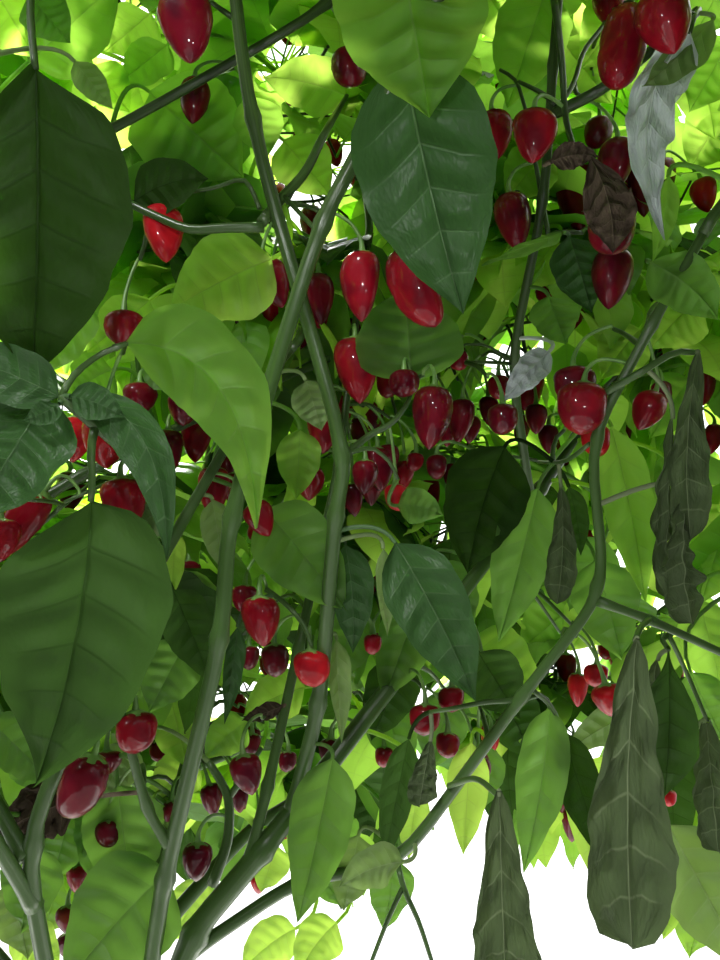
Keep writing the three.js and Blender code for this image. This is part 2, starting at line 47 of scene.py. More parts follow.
# Limbs with a route of their own: name, parent, radii at start and tip, route.
ROUTED_LIMBS = [
    ("right_main", "trunk", (8.8, 4.6),
     [(0, 0, 390), (22, -23, 459), (60, -30, 501), (148, -19, 610), (237, -11, 722), (293, 10, 803)]),
    ("leader", "trunk", (9, 4),
     [(-2, 4, 372), (-14, 36, 470), (8, 78, 620), (-16, 96, 780), (12, 84, 960), (4, 66, 1170)]),
    ("left_front", "trunk", (6, 4),
     [(0, -3, 366), (4, -33, 436), (13, -57, 489), (46, -123, 600),
      (51, -151, 655), (96, -224, 768), (120, -250, 800), (150, -296, 832)]),
    ("left", "trunk", (6, 3.2),
     [(-3, 0, 348), (-34, -44, 414), (-42, -108, 508), (-6, -130, 594), (58, -117, 745), (74, -112, 772)]),
    ("centre", "right_main", (5.4, 3.8),
     [(76, -27, 520), (92, -60, 578), (101, -126, 661), (107, -148, 688), (62, -230, 824), (50, -276, 924)]),
    ("centre_back", "right_main", (4, 2.8),
     [(52, -28, 492), (62, -37, 532), (78, -51, 607), (102, -74, 717), (110, -84, 800), (119, -80, 872)]),
    ("left_front_side", "left_front", (3.4, 2.6),
     [(17, -66, 504), (7, -81, 522), (-6, -112, 576)]),
    ("left_rear", "left", (4.6, 3),
     [(-42, -104, 502), (-102, -92, 575), (-113, -90, 650),
      (-48, -89, 702), (82, -62, 791), (150, -40, 830)]),
    ("upper_left", "left_rear", (4.2, 3.2),
     [(-112, -90, 640), (-141, -105, 742), (-135, -138, 851),
      (-29, -171, 877), (100, -212, 926), (132, -214, 990)]),
    ("right", "right_main", (4.6, 3),
     [(19, -19, 448), (79, -12, 485), (135, -26, 493), (198, -81, 576),
      (240, -113, 627), (230, -150, 695), (256, -186, 742), (278, -207, 778)]),
    ("right_side", "right", (3, 2.4),
     [(236, -111, 622), (262, -112, 612), (325, -106, 583)]),
    ("top_right", "right_main", (4, 3),
     [(230, -12, 713), (205, -96, 771), (216, -164, 835), (216, -208, 889), (220, -246, 954)]),
]

# Limbs that a mass calls for: name, parent, share of the parent's length, radii.
REACHING_LIMBS = [
    ("low_back_right", "leader", 0.1, (6, 3.6)),
    ("low_back", "leader", 0.17, (5.5, 3.4)),
    ("low_back_left", "leader", 0.07, (5.6, 3.4)),
    ("low_left", "left", 0.2, (5, 3.4)),
    ("low_front_left", "left", 0.34, (4.6, 3.2)),
    ("inner_right", "leader", 0.29, (4.4, 3)),
    ("inner_left", "leader", 0.24, (4.4, 3)),
    ("back_right", "leader", 0.36, (5.4, 3.4)),
    ("back", "leader", 0.44, (5, 3.4)),
    ("back_left", "leader", 0.4, (5.4, 3.4)),
    ("side_left", "upper_left", 0.1, (4, 3)),
    ("front_left", "upper_left", 0.34, (4, 3)),
    ("upper_right", "leader", 0.66, (4.8, 3.2)),
    ("upper_back", "leader", 0.72, (4.6, 3.2)),
    ("upper_side_left", "leader", 0.62, (4.8, 3.2)),
    ("upper_front_left", "leader", 0.78, (4.4, 3)),
]
# How far such a limb arches up and zigzags, as shares of its reach, and how deep it enters a mass.
LIFT = 0.34
KINK = 0.05
ENTRY = 0.52

# Masses of foliage: name, limb, centre, radius.
MASSES = [
    ("low_right", "right_side", (452, -92, 640), 168),
    ("low_back_right", "low_back_right", (345, 275, 640), 185),
    ("low_back", "low_back", (30, 395, 600), 190),
    ("low_back_left", "low_back_left", (-290, 270, 610), 188),
    ("low_left", "low_left", (-420, -40, 640), 188),
    ("low_front_left", "low_front_left", (-270, -320, 660), 180),
    ("low_front", "left_front_side", (-60, -95, 640), 125),
    ("inner_right", "inner_right", (140, 150, 770), 165),
    ("inner_left", "inner_left", (-165, 110, 650), 170),
    ("right", "right_main", (412, 40, 905), 185),
    ("front_right", "right", (402, -262, 865), 178),
    ("back_right", "back_right", (300, 335, 905), 185),
    ("back", "back", (-15, 425, 910), 185),
    ("back_left", "back_left", (-325, 290, 915), 188),
    ("left", "side_left", (-430, -10, 930), 188),
    ("front_left", "front_left", (-300, -300, 950), 185),
    ("front", "left_front", (150, -428, 925), 170),
    ("centre_low", "left", (30, -40, 860), 125),
    ("centre_right", "left_rear", (225, -20, 900), 130),
    ("centre", "centre_back", (110, -50, 1010), 140),
    ("upper_front", "centre", (-10, -330, 1090), 175),
    ("upper_front_right", "top_right", (265, -265, 1110), 172),
    ("upper_centre", "upper_left", (125, -140, 1215), 160),
    ("upper_right", "upper_right", (315, 110, 1155), 178),
    ("upper_back", "upper_back", (60, 300, 1190), 185),
    ("upper_left", "upper_side_left", (-290, 90, 1175), 182),
    ("upper_front_left", "upper_front_left", (-190, -170, 1210), 172),
    ("top", "leader", (15, 70, 1330), 172),
]

# The rule that each mass grows by, the same as in the solids.
SEED = 20
FLATTENING = 0.96
CELL_MARGIN = 0.6
TARGET_MARGIN = 22
TARGET_SHARE = 0.64
GOLDEN_ANGLE = math.pi * (3 - math.sqrt(5))
STEM_LENGTH = 16
FORK_SHARE = 0.52
JITTER = 0.1
TWIG_TRIES = 4
LEAF_TRIES = 8
SIDE_LEAF_SHARE = 0.6
FRUIT_AT = 0.8
LEAF_MIDDLE = 0.6

# What is finer here than in the solids.
TIPS_PER_MASS = 30
TWIG_TIP = 1.1
TWIG_POWER = 0.4
LEAF_LENGTH = 110
LEAF_SPREAD = 0.34
LEAF_SPACING = 18
LEAF_RIM = 8
FRUIT_SHARE = 0.25
OBSTACLE_STEP = 6

# Leaves straight from the boughs: their seed and step, and how high up and how far from the
# opening they begin.
LIMB_LEAF_SEED = 900
LIMB_LEAF_STEP = 24
LIMB_LEAF_ABOVE = 430
LIMB_LEAF_BEYOND = 600

# Stems: slimness, how much of each corner is cut, ridges, and the swelling at a node.
LIMB_SLIM = 0.78
LIMB_CUT = 0.16
TWIG_CUT = 0.2
STALK_CUT = 0.25
STEM_RIDGES = 4
STEM_RIDGE = 0.02
RIDGE_TWIST = 0.006
V_PER_MM = 0.01
NODE_SWELL = 0.34
NODE_REACH = 4.5

# Blade: the stalk's share of a leaf, its veins, how far they run forward to the edge, how the rows
# crowd towards the root, its span of surface coordinates, the width from which a leaf gets the
# fine columns, and the half-width from root to tip.
PETIOLE_SHARE = 0.24
VEIN_PAIRS = 6
VEIN_LAG = 0.42
ROW_CROWDING = 1.2
BLADE_V0 = 0.03
BLADE_V = 0.94
FINE_WIDTH = 28
COLUMNS = np.array([-1, -0.52, 0, 0.52, 1])
HALF_FINE_COLUMNS = np.array([-1, -0.8, -0.53, -0.2, 0, 0.2, 0.53, 0.8, 1])
FINE_COLUMNS = np.array([-1, -0.86, -0.7, -0.53, -0.36, -0.2, -0.09, -0.03, 0,
                         0.03, 0.09, 0.2, 0.36, 0.53, 0.7, 0.86, 1])
WIDEST = 0.36
OUTLINE_AT = np.array([0, 0.02, 0.06, 0.12, 0.2, 0.28, 0.36, 0.45,
                       0.55, 0.65, 0.75, 0.83, 0.89, 0.94, 0.975, 1])
OUTLINE = np.array([0.03, 0.2, 0.47, 0.74, 0.92, 0.99, 1, 0.975,
                    0.9, 0.77, 0.59, 0.41, 0.26, 0.13, 0.055, 0.0])
LIMP_AT = np.array([0, 0.04, 0.12, 0.25, 0.4, 0.55, 0.7, 0.82, 0.9, 0.95, 0.98, 1])
LIMP = np.array([0.1, 0.24, 0.38, 0.52, 0.72, 0.9, 1, 0.97, 0.84, 0.62, 0.38, 0])
CRUMPLE = {"silver": 0.09, "dry": 0.1, "wilt": 0.085}

# Fruit: half-width from top to tip for each form, and length and width of a full-grown small one.
PROFILE_AT = np.array([0, 0.02, 0.06, 0.12, 0.2, 0.32, 0.45, 0.58, 0.7, 0.8, 0.88, 0.93, 0.97, 1])
PROFILES = {
    "drop": np.array([0.3, 0.58, 0.78, 0.91, 0.985, 1, 0.95, 0.85, 0.71, 0.56, 0.4, 0.26, 0.13, 0.0]),
    "round": np.array([0.3, 0.56, 0.76, 0.9, 0.98, 1, 0.985, 0.94, 0.86, 0.74, 0.58, 0.4, 0.18, 0.0]),
    "long": np.array([0.35, 0.55, 0.74, 0.87, 0.95, 1, 0.99, 0.96, 0.89, 0.79, 0.64, 0.49, 0.3, 0.0]),
}
FRUIT_SIZES = {"drop": (36, 23), "round": (24, 21), "long": (42, 19)}
FRUIT_SHAPE_SHARES = [("drop", 0.55), ("round", 0.82), ("long", 1)]
FRUIT_TONE_SHARES = [("bright", 0.3), ("red", 0.7), ("dark", 1)]
STALK_REACH = 34
CALYX_RINGS = [(0.22, -0.09), (0.36, -0.02), (0.52, 0.035), (0.66, 0.1)]

# Kind of leaf: blade, veins, light let through, share let through, roughness, blotch, and for a
# withered one its wrinkles. From lime to dusk the greens are partly painted light and shade: lime and
# fresh are young leaves painted lighter as if sunlit, deep and dusk are painted darker as if in shade,
# and the veins of deep and dusk are painted darker than the blade for the shade in their creases. The
# cool leaf's blue-green is partly a painted sheen, and the silver leaf's pale grey is a painted sheen.
LEAF_KINDS = {
    # lime and fresh: young leaves, painted lighter as if sunlit
    "lime": ((0.15, 0.28, 0.045), (0.24, 0.38, 0.1), (0.66, 0.98, 0.13), 0.72, 0.45, 0.35),
    "fresh": ((0.09, 0.19, 0.034), (0.17, 0.29, 0.08), (0.46, 0.82, 0.09), 0.6, 0.45, 0.35),
    "mid": ((0.075, 0.155, 0.034), (0.13, 0.23, 0.065), (0.26, 0.54, 0.07), 0.5, 0.45, 0.4),
    # deep and dusk: painted darker as if in shade, with veins painted darker for the shade in their creases
    "deep": ((0.036, 0.076, 0.018), (0.019, 0.045, 0.009), (0.08, 0.2, 0.022), 0.34, 0.58, 0.45),
    "dusk": ((0.014, 0.034, 0.005), (0.008, 0.02, 0.003), (0.04, 0.11, 0.008), 0.3, 0.62, 0.5),
    # the cool leaf's blue-green is partly a painted sheen
    "cool": ((0.036, 0.088, 0.026), (0.08, 0.15, 0.06), (0.055, 0.16, 0.025), 0.25, 0.4, 0.6),
    "sage": ((0.16, 0.24, 0.09), (0.28, 0.37, 0.17), (0.28, 0.44, 0.09), 0.45, 0.5, 0.35),
    "wilt": ((0.075, 0.105, 0.05), (0.21, 0.26, 0.14), (0.1, 0.15, 0.045), 0.25, 0.6, 0.9, 0.9),
    # the silver leaf's pale grey is a painted sheen on the leaf
    "silver": ((0.58, 0.63, 0.66), (0.75, 0.8, 0.8), (0.42, 0.5, 0.42), 0.3, 0.34, 0.9, 0.9),
    "dry": ((0.07, 0.052, 0.036), (0.14, 0.11, 0.075), (0.06, 0.042, 0.022), 0.12, 0.75, 1.0, 0.9),
}
LEAF_SHARES = [("lime", 0.305), ("fresh", 0.63), ("mid", 0.88), ("deep", 1.0)]
FRUIT_TONES = {
    "bright": ((0.38, 0.007, 0.012), (0.24, 0.004, 0.01)),
    "red": ((0.205, 0.003, 0.01), (0.115, 0.002, 0.008)),
    "dark": ((0.115, 0.002, 0.009), (0.055, 0.001, 0.007)),
}
STEM_COLOURS = ((0.02, 0.041, 0.01), (0.042, 0.077, 0.02), (0.01, 0.022, 0.007), (0.09, 0.075, 0.04))
CALYX_COLOURS = ((0.09, 0.2, 0.04), (0.16, 0.29, 0.07))

# Room: the floor's radius in metres, where most light comes from, and the light from the dimmest
# side and on top of it from the brightest.
FLOOR_RADIUS = 0.74
BRIGHT_SIDE = (0.05, 0.5, 0.86)
ROOM_DIM = 0.12
ROOM_BRIGHT = 2.3

# Camera: the photograph's focal length and height in its own pixels, on a sensor of this height.
PHOTO_FOCAL_PX = 776.6
PHOTO_HEIGHT_PX = 960
SENSOR_MM = 36

# Hollow under the front of the crown: its opening, the pitch of its axis, its depth, the slopes of
# its sides and roof, and the room round its opening.
OPENING = np.array([114.0, -505.0, 530.0])
OPENING_PITCH = math.radians(22)
HOLLOW_DEPTH = 460
HOLLOW_SIDE = 0.5
HOLLOW_RISE = 0.66
HOLLOW_LIP = 20
# Where the crown lets the sky through: the sideways and the upward slope of each clear line
# from the opening, measured from the hollow's own axis, and the slope of its half-width.
SKY_LINES = [
    (-0.077, 0.354, 0.052), (-0.032, 0.393, 0.038), (-0.125, 0.438, 0.028), (-0.097, 0.541, 0.042),
    (-0.296, 0.219, 0.024), (0.187, 0.386, 0.02), (0.238, 0.373, 0.018), (0.425, 0.232, 0.022),
    (0.187, 0.142, 0.032), (0.255, 0.18, 0.026), (0.438, 0.058, 0.028), (0.103, -0.058, 0.018),
    (-0.167, -0.283, 0.026), (0.277, -0.232, 0.03), (0.283, -0.335, 0.03), (0.451, -0.245, 0.028),
    (-0.1, -0.54, 0.05),
]
# How far from the opening the clear lines start.
SKY_LINES_FROM = 200

# Leaves round the hollow, one by one: kind, root, bend, tip, width, and where they differ from
# the defaults its fold, its turn in degrees and where along it the leaf is widest.
HERO_LEAF_DEFAULTS = (0.25, 0, WIDEST)
HERO_LEAVES = [
    ("dusk", (-26, -261, 820), (-10, -262, 736), (-23, -220, 691), 76, 0.25, -8, 0.42),
    ("deep", (-2, -191, 647), (8, -201, 584), (-22, -156, 533), 76, 0.22, 6),
    ("cool", (-20, -212, 685), (-27, -221, 654), (-48, -200, 635), 47, 0.3, 10),
    ("cool", (-12, -217, 684), (-32, -230, 691), (-58, -230, 698), 25, 0.15),
    ("cool", (-6, -219, 683), (8, -227, 677), (17, -218, 674), 16, 0.3),
    ("cool", (-11, -218, 680), (-14, -225, 671), (-24, -219, 672), 11, 0.3),
    ("fresh", (12, -212, 713), (66, -220, 709), (69, -184, 637), 46, 0.35, 22),
    ("cool", (-1, -217, 684), (36, -222, 673), (34, -194, 619), 24, 0.75, -25),
    ("fresh", (130, -293, 855), (135, -293, 804), (142, -270, 782), 63, 0.22),
    ("cool", (132, -269, 816), (140, -265, 751), (156, -237, 711), 60, 0.3, 14),
    ("dusk", (2, -200, 802), (21, -213, 806), (40, -208, 809), 28),
    ("lime", (67, -165, 795), (41, -172, 776), (12, -158, 766), 51, 0.2),
    ("fresh", (-16, -150, 932), (17, -154, 893), (43, -135, 878), 69, 0.2),
    ("lime", (106, -156, 922), (81, -168, 924), (55, -160, 932), 38),
    ("fresh", (51, -171, 904), (58, -173, 878), (61, -161, 869), 30, 0.3),
    ("lime", (65, -123, 920), (81, -124, 896), (95, -110, 887), 40, 0.2),
    ("fresh", (224, -192, 970), (209, -189, 923), (199, -169, 898), 45),
    ("lime", (287, -173, 991), (265, -173, 957), (250, -155, 945), 43),
    ("lime", (243, -148, 980), (256, -149, 951), (276, -132, 942), 41),
    ("silver", (269, -245, 862), (238, -228, 833), (255, -213, 768), 28, 0.9, 30, 0.27),
    ("sage", (283, -243, 874), (261, -243, 844), (247, -235, 839), 21, 0.6, 20),
    ("fresh", (260, -218, 801), (257, -217, 777), (251, -206, 761), 12, 0.6, 20),
    ("dry", (221, -226, 805), (226, -236, 771), (228, -219, 756), 26, 1, 20, 0.5),
    ("dry", (204, -222, 806), (213, -231, 804), (225, -227, 804), 14, 0.9, 20),
    ("cool", (230, -157, 816), (233, -159, 789), (241, -145, 774), 30, 0.35, 10),
    ("mid", (254, -197, 768), (269, -205, 751), (286, -189, 740), 30, 0.3),
    ("mid", (223, -166, 811), (199, -171, 797), (179, -163, 792), 16, 0.4, 50),
    ("mid", (221, -136, 791), (223, -139, 773), (230, -129, 764), 29, 0.3),
    ("silver", (219, -131, 758), (204, -136, 742), (193, -124, 730), 18, 0.4),
    ("mid", (144, -111, 750), (141, -129, 772), (140, -126, 807), 63, 0.18),
    ("cool", (132, -130, 647), (153, -133, 610), (172, -106, 572), 40, 0.3, -8),
    ("sage", (126, -121, 647), (125, -119, 624), (128, -106, 604), 12, 0.9, 20),
    ("mid", (135, -101, 678), (147, -108, 677), (160, -101, 672), 21, 0.3),
    ("dusk", (198, -93, 717), (180, -93, 678), (176, -71, 647), 50),
    ("mid", (217, -86, 694), (204, -84, 649), (193, -59, 610), 36, 0.3, 10),
    ("wilt", (228, -95, 691), (228, -94, 657), (224, -77, 628), 19, 0.9, 20, 0.6),
    ("deep", (235, -86, 695), (239, -86, 674), (241, -75, 657), 15, 0.5, 20),
    ("fresh", (260, -99, 727), (268, -93, 675), (278, -65, 632), 31, 0.3, 5),
    ("mid", (257, -51, 661), (261, -52, 630), (273, -28, 605), 42),
    ("wilt", (276, -183, 726), (259, -184, 676), (269, -157, 640), 22, 1.2, 35, 0.5),
    ("wilt", (268, -160, 659), (259, -165, 627), (268, -146, 603), 26, 0.8, -20, 0.5),
    ("wilt", (267, -164, 700), (259, -159, 654), (262, -137, 617), 15, 1.1, -30, 0.4),
    ("wilt", (236, -162, 593), (221, -162, 530), (231, -120, 468), 37, 0.35, 0, 0.56),
    ("wilt", (177, -126, 531), (175, -127, 483), (180, -92, 432), 30, 0.35, 0, 0.5),
    ("mid", (217, -69, 573), (210, -69, 532), (201, -43, 491), 29, 0.3),
    ("dusk", (224, -61, 562), (232, -61, 529), (245, -40, 496), 25, 0.3),
    ("lime", (229, -48, 547), (235, -44, 513), (246, -23, 479), 17, 0.4, 30),
    ("deep", (264, -124, 596), (260, -126, 561), (260, -103, 528), 30, 0.45, 10, 0.6),
    ("wilt", (261, -116, 591), (251, -118, 562), (255, -99, 534), 22, 0.5, -20, 0.6),
    ("wilt", (289, -96, 565), (286, -97, 534), (293, -76, 503), 24, 0.4, 0, 0.5),
    ("sage", (273, -67, 515), (287, -70, 482), (311, -46, 446), 44),
    ("lime", (292, -41, 502), (281, -45, 481), (278, -22, 457), 22),
    ("deep", (141, -52, 558), (133, -53, 526), (127, -32, 494), 20, 0.35),
    ("lime", (177, -41, 557), (173, -42, 527), (172, -22, 498), 24),
    ("lime", (149, 1, 532), (145, -2, 513), (143, 17, 493), 19),
    ("wilt", (152, -63, 556), (148, -66, 540), (146, -52, 524), 17, 0.5),
    ("mid", (99, -54, 548), (92, -55, 507), (80, -26, 465), 36, 0.3, 8),
    ("mid", (12, -45, 492), (-9, -58, 472), (-39, -31, 438), 59, 0.2),
    ("mid", (-17, -54, 534), (-9, -58, 506), (-8, -36, 477), 45, 0.2),
    ("mid", (-53, -63, 504), (-51, -71, 485), (-59, -51, 464), 33, 0.3),
    ("sage", (136, -55, 497), (119, -66, 497), (103, -55, 485), 24, 0.3),
    ("sage", (36, -121, 674), (41, -124, 652), (44, -111, 636), 18, 0.3),
    ("mid", (62, -110, 673), (85, -115, 646), (107, -95, 620), 44, 0.2, -5),
    ("deep", (14, -98, 631), (27, -102, 607), (36, -85, 584), 29),
    ("cool", (49, -94, 612), (47, -92, 587), (43, -79, 564), 13, 0.5, 20),
    ("mid", (18, -73, 609), (10, -78, 588), (-2, -62, 571), 33, 0.2),
    ("lime", (14, -105, 662), (15, -105, 642), (12, -93, 626), 13),
    ("cool", (106, -102, 655), (112, -103, 625), (110, -85, 600), 25, 0.35),
    ("sage", (101, -73, 609), (102, -73, 582), (104, -56, 556), 15, 0.7, 20),
    ("dry", (-28, -81, 527), (-44, -94, 523), (-69, -79, 510), 32, 0.6),
    ("dry", (70, -49, 576), (59, -55, 571), (47, -48, 568), 11, 0.9),
    ("fresh", (-35, -152, 778), (-44, -155, 752), (-60, -140, 737), 32),
    ("lime", (-8, -127, 795), (-22, -131, 775), (-43, -119, 765), 32),
    ("mid", (-67, -109, 563), (-46, -114, 548), (-34, -99, 534), 29, 0.3),
    ("fresh", (-86, -164, 942), (-54, -182, 953), (-31, -183, 987), 54),
    ("mid", (-74, -200, 950), (-58, -202, 928), (-50, -190, 924), 29),
    ("sage", (84, -127, 742), (89, -130, 725), (93, -118, 716), 24, 0.3),
    ("fresh", (80, -108, 721), (80, -109, 699), (78, -95, 684), 26),
    ("mid", (-2, -133, 758), (13, -137, 744), (24, -128, 738), 33),
    ("lime", (294, -32, 693), (309, -34, 666), (333, -12, 646), 52),
    ("deep", (181, -61, 604), (191, -65, 585), (204, -48, 569), 34),
    ("mid", (150, -42, 639), (139, -42, 609), (128, -21, 582), 36),
    ("lime", (-65, -127, 983), (-50, -127, 961), (-40, -115, 953), 31),
    ("fresh", (-15, -132, 995), (-29, -133, 976), (-48, -122, 971), 33),
    ("lime", (-32, -126, 1033), (-46, -126, 1013), (-64, -116, 1008), 42),
    ("lime", (-47, -114, 1004), (-37, -112, 976), (-32, -97, 962), 39),
    ("sage", (-44, -193, 906), (-31, -194, 887), (-23, -183, 882), 17, 0.3),
    ("lime", (16, 9, 645), (21, 12, 618), (23, 30, 593), 31),
    ("lime", (77, 29, 596), (57, 23, 591), (36, 36, 578), 35),
    ("lime", (-15, 28, 598), (-6, 31, 570), (-1, 50, 544), 42),
    ("fresh", (41, 17, 573), (29, 12, 565), (14, 26, 550), 28),
    ("lime", (0, 69, 552), (-14, 65, 539), (-32, 79, 526), 35),
    ("sage", (-24, -9, 558), (-31, -12, 542), (-43, 3, 527), 28, 0.3),
    ("fresh", (-19, 35, 527), (-24, 35, 507), (-34, 52, 486), 39),
    ("lime", (-97, 33, 454), (-79, 27, 446), (-68, 40, 436), 36),
    ("lime", (11, 77, 476), (1, 76, 459), (-13, 93, 439), 31),
    ("lime", (58, 69, 498), (54, 66, 484), (48, 80, 469), 27),
    ("mid", (80, 12, 505), (91, 11, 487), (102, 27, 467), 34),
    ("sage", (113, -21, 508), (109, -22, 489), (105, -5, 468), 28),
    ("lime", (99, 65, 453), (86, 61, 444), (73, 78, 421), 33),
    ("lime", (69, 112, 443), (51, 107, 436), (31, 124, 415), 35),
    ("mid", (-36, 3, 527), (-39, 4, 503), (-47, 22, 479), 39),
    ("lime", (-72, 69, 498), (-62, 71, 471), (-57, 91, 443), 37),
    ("sage", (-7, -62, 689), (-17, -67, 680), (-32, -54, 669), 28),
    ("lime", (85, -21, 721), (74, -28, 715), (63, -16, 707), 24),
    ("fresh", (-53, -82, 737), (-63, -87, 728), (-80, -75, 720), 30),
    ("fresh", (-79, -49, 736), (-93, -52, 721), (-114, -37, 705), 39),
    ("mid", (-65, -51, 687), (-80, -55, 676), (-102, -41, 664), 43),
    ("lime", (25, 15, 683), (14, 13, 667), (0, 27, 655), 35),
    ("fresh", (64, -3, 675), (49, -8, 666), (31, 6, 653), 40),
    ("lime", (303, 86, 669), (287, 85, 649), (276, 101, 633), 46),
    ("fresh", (324, -32, 641), (328, -29, 611), (339, -9, 584), 37),
    ("mid", (314, -26, 598), (320, -26, 578), (334, -10, 559), 30, 0.3),
    ("sage", (316, 77, 585), (287, 72, 576), (263, 88, 558), 32),
    ("mid", (165, -3, 675), (175, -1, 648), (188, 17, 625), 40, 0.3),
    ("deep", (141, -18, 607), (131, -17, 582), (121, 1, 560), 35, 0.3),
    ("mid", (130, 30, 594), (136, 33, 566), (143, 52, 539), 37, 0.3),
    ("lime", (199, 98, 640), (225, 97, 621), (253, 112, 604), 54),
    ("fresh", (-36, -94, 768), (-46, -100, 760), (-62, -88, 753), 36),
    ("fresh", (11, -12, 646), (7, -12, 624), (-1, 4, 605), 30),
    ("mid", (114, -40, 633), (104, -39, 609), (93, -22, 588), 34, 0.3),
    ("lime", (129, 22, 826), (152, 24, 801), (176, 40, 783), 51),
    ("fresh", (143, 3, 767), (128, 4, 743), (114, 20, 726), 43),
    ("mid", (290, 30, 700), (275, 32, 674), (265, 50, 652), 43),
    ("fresh", (196, 103, 626), (208, 105, 600), (222, 124, 576), 46),
    ("mid", (180, 71, 599), (172, 74, 571), (164, 93, 545), 40, 0.3),
    ("mid", (202, 64, 562), (195, 66, 537), (190, 85, 512), 36, 0.3),
    ("deep", (222, 112, 604), (234, 114, 579), (248, 132, 554), 46, 0.3),
    ("lime", (335, -22, 722), (345, -20, 696), (362, -3, 675), 40),
    ("fresh", (348, -29, 687), (337, -28, 663), (333, -11, 642), 36),
    ("mid", (-59, 3, 527), (-63, 4, 504), (-72, 21, 482), 39, 0.3),
    ("fresh", (-83, 74, 485), (-88, 74, 464), (-100, 92, 442), 40),
    ("lime", (-138, -151, 1041), (-117, -145, 1006), (-103, -128, 986), 58),
    ("lime", (342, -129, 988), (343, -125, 955), (352, -108, 936), 44),
    ("fresh", (352, -148, 980), (336, -145, 952), (326, -130, 937), 39),
    ("lime", (367, -101, 971), (352, -99, 945), (343, -85, 932), 42),
    ("lime", (-45, -86, 987), (-60, -88, 971), (-81, -75, 960), 40),
    ("lime", (185, -153, 1048), (202, -148, 1014), (221, -132, 995), 51),
    ("fresh", (346, -180, 1008), (329, -177, 977), (319, -162, 962), 41),
    ("lime", (-108, -111, 1050), (-91, -108, 1020), (-79, -93, 1005), 43),
    ("mid", (138, 72, 489), (134, 72, 468), (130, 90, 445), 31, 0.3),
    ("fresh", (313, -16, 495), (304, -15, 470), (301, 5, 443), 40),
    ("sage", (-80, -23, 486), (-71, -24, 466), (-70, -7, 445), 33, 0.3),
    ("lime", (230, -136, 899), (215, -137, 879), (204, -125, 870), 35),
    ("lime", (235, -116, 847), (222, -116, 828), (213, -104, 819), 35),
    ("lime", (324, -102, 813), (305, -104, 798), (293, -90, 784), 41),
    ("lime", (294, -78, 807), (279, -80, 791), (269, -66, 777), 36),
    ("fresh", (335, -48, 787), (318, -49, 768), (308, -33, 750), 40),
    ("fresh", (295, 125, 678), (269, 125, 657), (246, 141, 640), 58),
    ("mid", (-92, -10, 560), (-76, -12, 543), (-68, 3, 527), 36, 0.3),
]

